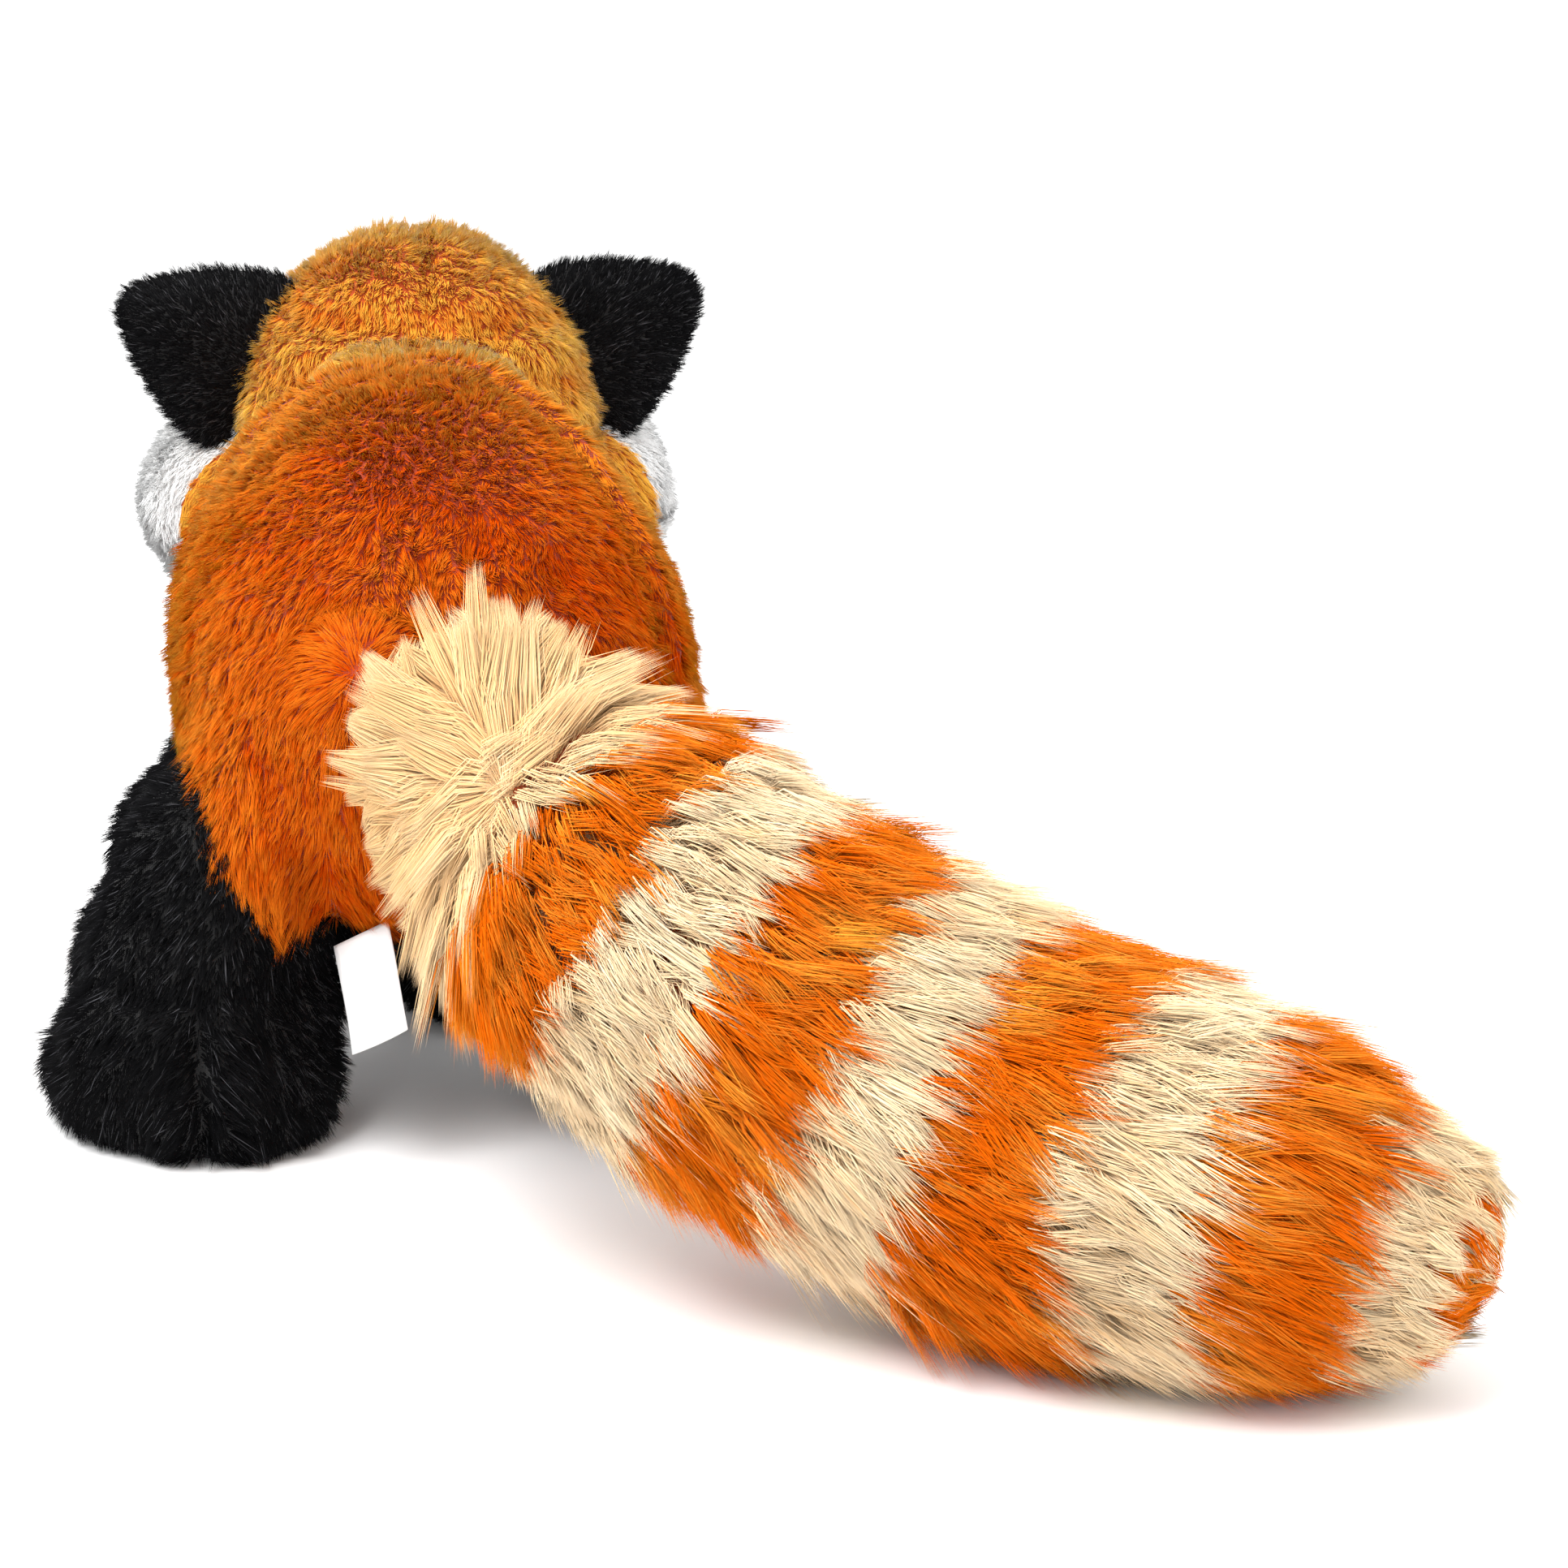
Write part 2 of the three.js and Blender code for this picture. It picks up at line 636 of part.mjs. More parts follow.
function addNode(name, solid, colour, roughness = 0.95) {
  const mesh = solid.getMesh();
  const geometry = new THREE.BufferGeometry();
  geometry.setAttribute('position', new THREE.BufferAttribute(Float32Array.from(mesh.vertProperties), 3));
  geometry.setIndex(new THREE.BufferAttribute(Uint32Array.from(mesh.triVerts), 1));
  geometry.computeVertexNormals();
  const material = new THREE.MeshStandardMaterial({ color: colour, roughness, metalness: 0 });
  const node = new THREE.Mesh(geometry, material);
  node.name = name;
  nodes.push(node);
}

// Legs
const plugs = [];
for (const [name, leg] of Object.entries(LEGS)) {
  const { cover, fill, plug } = legPieces(leg);
  plugs.push(plug);
  addNode(`${name}_leg_cover`, cover, BLACK);
  addNode(`${name}_leg_stuffing`, fill, FILL);
}

// Tail
const tailSleeve = tailForm(1, 0, TAIL_STEPS)
  .subtract(floorAt(0))
  .subtract(tailForm(TAIL_CORE_SHARE, SEAM_GAP, TAIL_CORE_STEPS));
const bandEdge = SEAM_GAP / 2 / TAIL_LINE.getLength();
for (let i = 0; i < TAIL_BANDS; i += 1) {
  const from = i === 0 ? -0.3 : i / (TAIL_BANDS - 1) + bandEdge;
  const to = i === TAIL_BANDS - 1 ? 1.3 : (i + 1) / (TAIL_BANDS - 1) - bandEdge;
  const band = tailSleeve.intersect(tailSlab(from, to));
  addNode(`tail_band_${i + 1}`, band, i % 2 ? AMBER : CREAM);
}
addNode('tail_stuffing', tailForm(TAIL_CORE_SHARE, 0, TAIL_CORE_STEPS), FILL);

// Head
const faceSeamY = HEAD_CENTRE.y + FACE_SEAM;
const frontOfSeam = box(new THREE.Vector3(0, faceSeamY - WIDE / 2 - SEAM_GAP / 2, 0), CUBE);
const behindSeam = box(new THREE.Vector3(0, faceSeamY + WIDE / 2 + SEAM_GAP / 2, 0), CUBE);
const jawZ = HEAD_MID - MUZZLE_DROP;
const eyeZ = HEAD_MID + EYE_RISE;
const browZ = HEAD_MID + BROW_RISE;
const inward = (from, depth) => from.clone().add(new THREE.Vector3(0, depth, 0));

function eyeAt(side) {
  const out = (side * EYE_SPACING) / 2;
  return new THREE.Vector3(HEAD_LEAN + out, faceY(out, eyeZ) + 1, eyeZ);
}

// A bead on a pin that goes through the cover, held by a washer inside.
function pinned(centre, half, washerDiameter) {
  const seat = inward(centre, WASHER_DEPTH);
  const seatEnd = inward(seat, WASHER_THICKNESS);
  const pinEnd = inward(seatEnd, PIN_END);
  const pin = (grow) => rod(centre, inward(pinEnd, grow), PIN_DIAMETER / 2 + grow, PIN_SIDES);
  const washerRadius = washerDiameter / 2;
  return {
    bead: ellipsoid(centre, half, BEAD_STEPS).add(pin(0)),
    beadRoom: ellipsoid(centre, half, BEAD_STEPS, SEAM_GAP).add(pin(SEAM_GAP)),
    washer: rod(seat, seatEnd, washerRadius, DISC_SIDES).subtract(pin(SEAM_GAP)),
    washerRoom: rod(
      inward(seat, -SEAM_GAP),
      inward(seatEnd, SEAM_GAP),
      washerRadius + SEAM_GAP,
      DISC_SIDES,
    ),
  };
}

const eyeHalf = new THREE.Vector3(EYE_DIAMETER / 2, EYE_DIAMETER / 2, EYE_DIAMETER / 2);
const eyeLeft = pinned(eyeAt(1), eyeHalf, WASHER_DIAMETER);
const eyeRight = pinned(eyeAt(-1), eyeHalf, WASHER_DIAMETER);
const noseAt = MUZZLE.clone().add(new THREE.Vector3(
  0,
  -MUZZLE_HALF.y * NOSE_AHEAD_SHARE,
  MUZZLE_HALF.z * NOSE_RISE_SHARE,
));
const noseHalf = new THREE.Vector3(
  NOSE_WIDTH / 2,
  NOSE_WIDTH * NOSE_DEPTH_SHARE,
  NOSE_WIDTH * NOSE_HEIGHT_SHARE,
);
const nose = pinned(noseAt, noseHalf, NOSE_WIDTH * NOSE_WASHER_SHARE);

// A smile sewn across the muzzle.
const MOUTH_SPAN = MUZZLE_WIDTH * MOUTH_SPAN_SHARE;

function mouthForm(grow) {
  const spots = [];
  for (let i = -3; i <= 3; i += 1) {
    const x = (i / 6) * MOUTH_SPAN;
    const z = -MUZZLE_HALF.z * (MOUTH_DROP_SHARE - MOUTH_SMILE_SHARE * (i / 3) ** 2);
    const deep = Math.sqrt(1 - (x / MUZZLE_HALF.x) ** 2 - (z / MUZZLE_HALF.z) ** 2);
    spots.push(MUZZLE.clone().add(new THREE.Vector3(x, -MUZZLE_HALF.y * deep, z)));
  }
  const line = new THREE.CatmullRomCurve3(spots);
  const radius = STITCH_DIAMETER / 2 + grow;
  return ball(STITCH_STEPS, (d) => {
    const t = (1 + d.y) / 2;
    const along = line.getTangentAt(t);
    const across = new THREE.Vector3().crossVectors(along, AXIS_Y).normalize();
    const deep = new THREE.Vector3().crossVectors(across, along);
    return line.getPointAt(t)
      .addScaledVector(across, d.x * radius)
      .addScaledVector(deep, d.z * radius)
      .addScaledVector(along, Math.sign(d.y) * grow);
  });
}

// The parts of the head beyond the cheek seams and in front of the muzzle seam.
function cheekRegion(side, grow) {
  const corner = new THREE.Vector3(
    side * (CHEEK_SEAM_OUT - grow),
    CHEEK_SEAM_BACK + grow,
    grow + CHEEK_SEAM_RISE,
  );
  const away = new THREE.Vector3(side, -1, -1).multiplyScalar(WIDE / 2);
  return box(corner.add(away).add(HEAD_CENTRE), CUBE);
}

function muzzleRegion(grow) {
  const away = new THREE.Vector3(0, grow - MUZZLE_SEAM - WIDE / 2, 0);
  return box(away.add(HEAD_CENTRE), CUBE);
}

function browRegion(side, grow) {
  const out = (side * EYE_SPACING) / 2;
  const at = new THREE.Vector3(HEAD_LEAN + out, faceY(out, browZ), browZ);
  return rod(inward(at, -BROW_REACH), inward(at, BROW_REACH), EYE_DIAMETER * BROW_SHARE + grow, DISC_SIDES);
}

const pinRooms = [eyeLeft, eyeRight, nose].flatMap((pin) => [pin.beadRoom, pin.washerRoom]);
const headShell = cutBy(headForm(0, HEAD_STEPS), [
  headForm(SEAM_GAP - PILE, HEAD_FILL_STEPS),
  earRelief(1, PILE),
  earRelief(-1, PILE),
  mouthForm(SEAM_GAP),
  ...pinRooms,
]);
const headFill = cutBy(headForm(-PILE, HEAD_FILL_STEPS), [
  earRelief(1, SEAM_GAP),
  earRelief(-1, SEAM_GAP),
  ...pinRooms,
]);

const cheekRooms = [cheekRegion(1, SEAM_GAP), cheekRegion(-1, SEAM_GAP)];
const backOfHead = cutBy(headShell.intersect(behindSeam), cheekRooms);
const face = cutBy(headShell.intersect(frontOfSeam), [...cheekRooms, muzzleRegion(SEAM_GAP)]);
const cheeks = headShell.subtract(muzzleRegion(SEAM_GAP));
addNode('head_back_left', backOfHead.intersect(halfSpace(1, HEAD_LEAN + SEAM_GAP / 2)), AMBER);
addNode('head_back_right', backOfHead.intersect(halfSpace(-1, HEAD_LEAN - SEAM_GAP / 2)), AMBER);
const browRooms = [browRegion(1, SEAM_GAP), browRegion(-1, SEAM_GAP)];
addNode('forehead_panel', cutBy(face, [floorAt(jawZ), ...browRooms]), AMBER);
addNode('chin_panel', face.intersect(floorAt(jawZ - SEAM_GAP)), BLACK);
addNode('cheek_left', cheeks.intersect(cheekRegion(1, 0)), WHITE);
addNode('cheek_right', cheeks.intersect(cheekRegion(-1, 0)), WHITE);
addNode('muzzle_panel', headShell.intersect(muzzleRegion(0)), WHITE);
addNode('brow_left', face.intersect(browRegion(1, 0)), WHITE);
addNode('brow_right', face.intersect(browRegion(-1, 0)), WHITE);
addNode('head_stuffing', headFill, FILL);
addNode('eye_left', eyeLeft.bead, BLACK, 0.15);
addNode('eye_right', eyeRight.bead, BLACK, 0.15);
addNode('eye_washer_left', eyeLeft.washer, WHITE, 0.5);
addNode('eye_washer_right', eyeRight.washer, WHITE, 0.5);
addNode('nose', nose.bead, BLACK, 0.3);
addNode('nose_washer', nose.washer, WHITE, 0.5);
addNode('mouth_stitch', mouthForm(0), BLACK);
for (const [name, side] of [['left', 1], ['right', -1]]) {
  addNode(`ear_back_${name}`, earLayer(side, 1), BLACK);
  addNode(`ear_lining_${name}`, earLayer(side, -1), WHITE);
}

// Torso, with room for everything that is sewn to it
function withRoom(torso, gap) {
  const furGap = gap + FUR_GAP - SWING_GAP;
  return cutBy(torso, [
    ...Object.values(LEGS).map((leg) => legRoom(leg, gap, SOCKET_STEPS)),
    headRoom(furGap, SOCKET_STEPS),
    tailRoom(furGap, SOCKET_STEPS),
  ]);
}

const torsoShell = withRoom(bodyForm(0, BODY_STEPS), SWING_GAP)
  .subtract(bodyForm(SEAM_GAP - PILE, BODY_FILL_STEPS))
  .subtract(labelForm(SEAM_GAP));
const back = torsoShell.subtract(floorAt(BACK_SEAM_HEIGHT + SEAM_GAP / 2));
addNode('back_panel_left', back.intersect(halfSpace(1, SEAM_GAP / 2)), RUST);
addNode('back_panel_right', back.intersect(halfSpace(-1, -SEAM_GAP / 2)), RUST);
addNode('belly_panel', torsoShell.intersect(floorAt(BACK_SEAM_HEIGHT - SEAM_GAP / 2)), BLACK);
const bodyFill = withRoom(bodyForm(-PILE, BODY_FILL_STEPS), STUFFING_SLACK);
addNode('body_stuffing', plugs.reduce((fill, plug) => fill.add(plug), bodyFill), FILL);
addNode('care_label', labelForm(0), SATIN, 0.5);

// The origin is on the floor under the middle of the whole toy.
const extent = new THREE.Box3();
for (const node of nodes) {
  node.geometry.computeBoundingBox();
  extent.union(node.geometry.boundingBox);
}
const middle = extent.getCenter(new THREE.Vector3());
const group = new THREE.Group();
group.name = 'plush_red_panda';
for (const node of nodes) {
  node.geometry.translate(-middle.x, -middle.y, -extent.min.z);
  group.add(node);
}

export default group;
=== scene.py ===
"""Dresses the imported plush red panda: cloth backing, pile, stuffing, beads, stitches and label."""

import json
import math

import bpy
import numpy as np
from bpy.props import FloatProperty, FloatVectorProperty, PointerProperty
from mathutils import Matrix, Vector
from mathutils.kdtree import KDTree


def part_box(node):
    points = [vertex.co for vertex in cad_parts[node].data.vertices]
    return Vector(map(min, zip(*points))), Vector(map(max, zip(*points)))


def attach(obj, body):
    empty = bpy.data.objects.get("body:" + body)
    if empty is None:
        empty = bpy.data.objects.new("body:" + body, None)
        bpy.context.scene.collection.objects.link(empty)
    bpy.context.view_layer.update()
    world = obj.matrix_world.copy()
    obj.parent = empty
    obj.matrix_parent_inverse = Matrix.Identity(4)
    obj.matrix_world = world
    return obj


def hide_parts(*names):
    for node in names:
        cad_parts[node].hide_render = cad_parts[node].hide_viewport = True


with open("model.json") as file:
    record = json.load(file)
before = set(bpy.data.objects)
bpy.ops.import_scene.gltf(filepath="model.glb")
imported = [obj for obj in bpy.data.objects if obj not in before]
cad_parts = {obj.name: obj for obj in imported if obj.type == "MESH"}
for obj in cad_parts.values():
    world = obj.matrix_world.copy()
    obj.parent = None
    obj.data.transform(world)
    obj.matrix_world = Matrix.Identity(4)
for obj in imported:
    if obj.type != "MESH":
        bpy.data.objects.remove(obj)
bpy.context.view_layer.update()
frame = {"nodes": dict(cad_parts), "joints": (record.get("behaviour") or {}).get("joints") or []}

bl_info = {
    "name": "Plush red panda",
    "version": (1, 0, 0),
    "blender": (4, 5, 0),
    "location": "3D View > Sidebar > Plush",
    "description": "Sews the pile, face and label of a plush red panda round its packed solids",
    "category": "Object",
}

MM = 0.001
JOINTS = {joint["name"]: joint for joint in frame["joints"]}
PALETTE = "OFBake"
SIDES = (("left", 1), ("right", -1))


def torso_middle():
    """The torso's middle on the floor, in millimetres: the toy's own measures start there."""
    low = np.min([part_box(f"back_panel_{side}")[0] for side, _ in SIDES], axis=0)
    high = np.max([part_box(f"back_panel_{side}")[1] for side, _ in SIDES], axis=0)
    middle = (low + high) / 2 / MM
    return np.array([middle[0], middle[1], 0.0])


MIDDLE = torso_middle()


def joint_spot(name):
    """Where a joint is, in the toy's own millimetres."""
    return np.array(JOINTS[name]["pos_m"]) / MM - MIDDLE


# The toy's own measures, in millimetres from the torso's middle on the floor.
BODY_MID = 108
BODY_HALF = np.array([69.0, 95.0, 77.0])
BODY_SLOPE = 3
BODY_TAPER = 0.08
BODY_FULLNESS = 0.72
BACK_SEAM = 56
HAUNCH = np.array([50.0, 42.0, 76.0])
HAUNCH_HALF = (21.7, 39.2, 43.2)
HAUNCH_SOFT = 4
NECK_FOLD = -22
NECK_FOLD_TURN = 1.7
HEAD = np.array([-14.0, -138.0, 144.0])
SKULL_HALF = (54, 58, 64)
CHEEK_HALF = (32, 36, 35.8)
CHEEK_OFF = (48, -17.4, -22)
MUZZLE = HEAD + (0, -55.7, -26)
MUZZLE_HALF = np.array([30, 25.5, 24.3])
NECK = joint_spot("head_turn")
NECK_RADIUS = 45
FACE_SEAM = -134.5
JAW = 118
BROW = (26, 179, 9.75)
TAIL_ROOT = joint_spot("tail_wag")
TAIL_STEPS = [(0, 0, 0), (-21, 33, -18), (-53, 82, -36), (-99, 119, -56), (-139, 155, -63),
              (-168, 168, -71), (-181, 178, -76)]
TAIL_SWELL = ([0, 0.16, 0.6, 0.8, 1], [41, 47.5, 47.5, 42.75, 28])
ROOT_END, TIP_END = 0.16, 0.88
ROOT_STRETCH, ROOT_NARROW, ROOT_RAISE = 0.25, 0.32, 0.1
TIP_BULGE, TIP_SHORT, TIP_SLIM = 0.55, 14, 0.15
TAIL_BANDS = 10
BAND_SLANT = np.array([0.2, 0.95, 0.22])
ROSETTE = np.array([11.0, 160.0, 113.0])
WHORL = np.array([32.0, 88.0, 124.0])
DIMPLES = np.array([[0.0, 81.0, 153.0], [-22.0, 82.0, 146.0], [27.0, 75.0, 152.0]])
HIND = {"half": (34, 45, 27.3), "ankle": 35, "lift": 29, "back": 51}
FRONT = {"half": (28, 37, 24.4), "ankle": 28, "lift": 26, "back": -54}
LEGS = {
    "hind_left": {**HIND, "foot": (70, 44, 12.6), "splay": 28},
    "hind_right": {**HIND, "foot": (-59, 44, 12.6), "splay": -12},
    "front_left": {**FRONT, "foot": (65.5, -57, 11.3), "splay": 16},
    "front_right": {**FRONT, "foot": (-21.5, -57, 11.3), "splay": 0},
}
LEG_ROOT_RADIUS = 29
LEG_BALLS = 9
LEG_CENTRE = (0, -4, -6)
ANKLE_INWARD = 3
EAR_SLOPE = math.radians(29)
EAR_ROOT_OUT = 41
EAR_ROOT_DROP = 1.8
EAR_SEAM = 3.5
EAR_HALF = (35, 7, 54)
EAR_BOW = 5
EAR_MIDDLE, EAR_NARROW = 0.45, 0.72
# Powers that square the ear's round outline.
EAR_RIM, EAR_TOP, EAR_SIDE, EAR_TIP = 0.6, 0.8, 0.75, 1.2

# How the short tufts lie over, in millimetres, and how much tufts differ, as shares.
BODY_REACH = 3.8
HEIGHT_SPREAD = 0.16
REACH_SPREAD = 0.2
WIDTH_SPREAD = 0.2
SEWN_IN = 3


def tone(red, green, blue):
    """A colour given in screen values from 0 to 255, as Blender's linear numbers."""
    shares = np.array([red, green, blue]) / 255
    linear = np.where(shares <= 0.04045, shares / 12.92, ((shares + 0.055) / 1.055) ** 2.4)
    return tuple(float(value) for value in linear)


def colour_prop(name, description, default):
    return FloatVectorProperty(name=name, description=description, default=default,
                               subtype="COLOR", size=3, min=0, max=1)


def length_prop(name, description, default):
    return FloatProperty(name=name, description=description, default=default * MM,
                         unit="LENGTH", min=0.0001, max=10)


class PlushPile(bpy.types.PropertyGroup):
    """How long and how dense the pile is."""

    body_pile: length_prop("Body pile", "Height of the short pile over its cloth", 3)
    ear_pile: length_prop("Ear pile", "Height of the pile on the ears", 2.2)
    body_fibre: length_prop("Body fibre", "Half width of a short tuft", 0.19)
    tail_fibre: length_prop("Tail fibre", "Half width of a long tuft", 0.17)
    tail_reach: length_prop("Tail reach", "How far the long pile lies over along the tail", 16)
    body_density: FloatProperty(name="Body density", description="Tufts in a square millimetre",
                                default=2.9, min=0.01, max=6)
    tail_density: FloatProperty(name="Tail density", description="Tufts in a square millimetre of the tail",
                                default=1.79, min=0.01, max=6)


class PlushColours(bpy.types.PropertyGroup):
    """The colours of the pile, the cloth and the small parts."""

    rust_dark: colour_prop("Rust, dark", "Shaded tufts of the back", tone(198, 66, 2))
    rust_light: colour_prop("Rust, light", "Bright tufts of the back", tone(255, 140, 34))
    amber_dark: colour_prop("Amber, dark", "Shaded tufts of crown and bands", tone(219, 89, 3))
    amber_light: colour_prop("Amber, light", "Bright tufts of crown and bands", tone(255, 184, 66))
    cream_dark: colour_prop("Cream, dark", "Shaded tufts of the pale bands", tone(233, 184, 128))
    cream_light: colour_prop("Cream, light", "Bright tufts of the pale bands", tone(254, 228, 188))
    black_dark: colour_prop("Black, dark", "Shaded tufts of legs and ears", tone(2, 2, 3))
    black_light: colour_prop("Black, light", "Bright tufts of legs and ears", tone(90, 90, 94))
    white_dark: colour_prop("White, dark", "Shaded tufts of the cheeks", tone(240, 239, 237))
    white_light: colour_prop("White, light", "Bright tufts of the cheeks", tone(255, 255, 254))
    satin: colour_prop("Satin", "The sewn-in label", tone(248, 248, 247))
    fill: colour_prop("Fill", "Polyester stuffing", tone(232, 232, 228))
    bead: colour_prop("Bead", "Eyes and nose", tone(12, 10, 9))
    floor: colour_prop("Floor", "The pale floor", tone(250, 250, 250))


class PlushStage(bpy.types.PropertyGroup):
    """Where the camera stands and how strong the lights are."""

    azimuth: FloatProperty(name="Azimuth", description="Turn of the camera about the toy",
                           default=math.radians(168), subtype="ANGLE")
    elevation: FloatProperty(name="Elevation", description="Height of the camera over level",
                             default=math.radians(13), subtype="ANGLE")
    distance: length_prop("Distance", "From the camera to its target", 1200)
    lens: FloatProperty(name="Lens", description="Focal length in millimetres", default=106.2, min=10)
    target: FloatVectorProperty(name="Target", description="What the camera points at", size=3,
                                default=(-0.043, -0.0219, 0.077), subtype="TRANSLATION")
    key: FloatProperty(name="Key light", description="Power of the large light at the upper left",
                       default=24, min=0)
    rim: FloatProperty(name="Side light", description="Power of the light at the right", default=2, min=0)
    sky: FloatProperty(name="Sky", description="Strength of the light from all round", default=1.4, min=0)


def group_of(names):
    return getattr(bpy.context.scene, "plush_" + names)


# Surfaces

WAVES, WAVE_RATE, WAVE_GAIN = 7, 2.4, 1.9


def globe(rings, around):
    """Directions of a globe with its poles on the Y axis, front pole first, and its triangles."""
    polar = np.linspace(0, np.pi, rings + 1)[1:-1]
    turn = np.linspace(0, 2 * np.pi, around, endpoint=False)
    p, a = np.meshgrid(polar, turn, indexing="ij")
    rows = np.stack([np.sin(p) * np.cos(a), -np.cos(p), np.sin(p) * np.sin(a)], -1).reshape(-1, 3)
    directions = np.vstack([[[0, -1, 0]], rows, [[0, 1, 0]]])
    ids = 1 + np.arange((rings - 1) * around).reshape(rings - 1, around)
    after = np.roll(ids, -1, axis=1)
    first, last = np.zeros_like(ids[0]), np.full_like(ids[0], len(directions) - 1)
    tris = np.vstack([
        np.stack([first, ids[0], after[0]], -1),
        np.stack([ids[:-1], ids[1:], after[1:]], -1).reshape(-1, 3),
        np.stack([ids[:-1], after[1:], after[:-1]], -1).reshape(-1, 3),
        np.stack([last, after[-1], ids[-1]], -1),
    ])
    return directions, tris


def unit(vectors):
    return vectors / np.maximum(np.linalg.norm(vectors, axis=-1, keepdims=True), 1e-9)


def step(value, low, high):
    """0 below low, 1 above high and smooth between."""
    share = np.clip((value - low) / (high - low), 0, 1)
    return share * share * (3 - 2 * share)


def ridge(value, wide):
    """1 where the value is 0, falling off on both sides over wide."""
    return np.exp(-(value / wide) ** 2)


def varied(rng, count, spread):
    """Random factors round 1, one for each tuft."""
    return 1 + spread * rng.normal(size=count)


def wander(points, scale, seed):
    """A smooth value from about -1 to 1 that changes over about scale millimetres."""
    draw = np.random.default_rng(seed)
    waves = draw.normal(0, WAVE_RATE / scale, (WAVES, 3))
    phases = draw.uniform(0, 2 * np.pi, WAVES)
    return np.sin(points @ waves.T + phases).mean(1) * WAVE_GAIN


def lumps(points, waves):
    """A sum of wandering values, each with its height, its scale and its seed."""
    return sum(height * wander(points, scale, seed) for height, scale, seed in waves)


def nearest(spots, points):
    """The number of the spot that is nearest to each point."""
    tree = KDTree(len(spots))
    for number, spot in enumerate(spots):
        tree.insert(spot, number)
    tree.balance()
    return np.array([tree.find(point)[1] for point in points])


def rows_at(t, shares, rows):
    """The rows' values at t, where the rows stand at the shares."""
    return np.stack([np.interp(t, shares, rows[:, k]) for k in range(3)], -1)


class Form:
    """A closed surface of triangles, in the toy's millimetres, with smooth normals."""

    def __init__(self, points, tris):
        corners = points[tris]
        faces = np.cross(corners[:, 1] - corners[:, 0], corners[:, 2] - corners[:, 0])
        if np.einsum("ij,ij->", faces, corners[:, 0] - points.mean(0)) < 0:
            tris, faces = tris[:, ::-1], -faces
        normals = np.zeros_like(points)
        for k in range(3):
            np.add.at(normals, tris[:, k], faces)
        self.points, self.tris, self.normals = points, tris, unit(normals)
        self.areas = np.linalg.norm(faces, axis=1) / 2

    def inset(self, depth):
        """The same surface moved in, by one depth or by one for each point."""
        depth = np.broadcast_to(depth, len(self.points))
        return Form(self.points - self.normals * depth[:, None], self.tris)

    def above(self, floor):
        """The same surface with what lies lower than floor pressed flat on it."""
        return Form(np.maximum(self.points, (-np.inf, -np.inf, floor)), self.tris)

    def scatter(self, rng, density, hidden=None):
        """Random points on the surface and their normals, without the points that hidden finds."""
        wanted = self.areas * density
        counts = (wanted + rng.random(len(wanted))).astype(int)
        pick = np.repeat(np.arange(len(self.tris)), counts)
        share = rng.random((len(pick), 2))
        fold = share.sum(1) > 1
        share[fold] = 1 - share[fold]
        share = np.column_stack([1 - share.sum(1), share])[:, :, None]
        corner = self.tris[pick]
        spots, normals = (self.points[corner] * share).sum(1), unit((self.normals[corner] * share).sum(1))
        keep = ~hidden(spots) if hidden else slice(None)
        return spots[keep], normals[keep]

    def centres(self):
        return self.points[self.tris].mean(1)


def blob(centre, half, turn=0.0):
    return np.asarray(centre, float), np.broadcast_to(np.asarray(half, float), 3), math.radians(turn)


def into_blob(points, shape, grow=0.0):
    """Points in a blob's own measure, where its surface is at 1."""
    centre, half, turn = shape
    off = points - centre
    cos, sin = math.cos(turn), math.sin(turn)
    own = np.stack([off[:, 0] * cos + off[:, 1] * sin, off[:, 1] * cos - off[:, 0] * sin, off[:, 2]], -1)
    return own / np.maximum(half + grow, 1e-3)


def inside(points, shapes, grow=0.0):
    """Which points lie in any of the blobs, grown by so many millimetres."""
    found = np.zeros(len(points), bool)
    for shape in shapes:
        found |= np.linalg.norm(into_blob(points, shape, grow), axis=1) < 1
    return found


def reach_of(centre, directions, shape):
    """How far rays from centre go before they leave a blob, 0 where they miss it."""
    start = into_blob(np.asarray(centre, float)[None], shape)[0]
    run = into_blob(directions + shape[0], shape)
    a = (run * run).sum(1)
    b = run @ start
    c = start @ start - 1
    under = b * b - a * c
    return np.where(under > 0, (np.sqrt(np.maximum(under, 0)) - b) / a, 0)


def filleted(far, other, soft):
    """The further of two distances, with soft millimetres of fillet where they meet."""
    mix = np.maximum(soft - np.abs(far - other), 0) / soft
    return np.maximum(far, other) + mix * mix * soft / 4


def joined(centre, groups, rings, around, soft):
    """One form round groups of blobs, seen from centre, with soft millimetres of fillet between groups."""
    directions, tris = globe(rings, around)
    far = None
    for shapes in groups:
        one = np.max([reach_of(centre, directions, shape) for shape in shapes], axis=0)
        far = one if far is None else filleted(far, one, soft)
    return Form(np.asarray(centre) + directions * np.maximum(far, 1)[:, None], tris)


def torso_form():
    directions, tris = globe(110, 150)
    x, y, z = directions.T
    full = np.maximum(np.hypot(x, z), 1e-6) ** (BODY_FULLNESS - 1)
    points = np.stack([
        x * full * BODY_HALF[0] * (1 + BODY_TAPER * y),
        y * BODY_HALF[1],
        BODY_MID - BODY_SLOPE * y + z * full * BODY_HALF[2],
    ], -1)
    middle = np.array([0, 0, BODY_MID])
    ways, far = unit(points - middle), np.linalg.norm(points - middle, axis=1)
    for _, side in SIDES:
        far = filleted(far, reach_of(middle, ways, blob(HAUNCH * (side, 1, 1), HAUNCH_HALF)), HAUNCH_SOFT)
    return Form(middle + ways * far[:, None], tris)


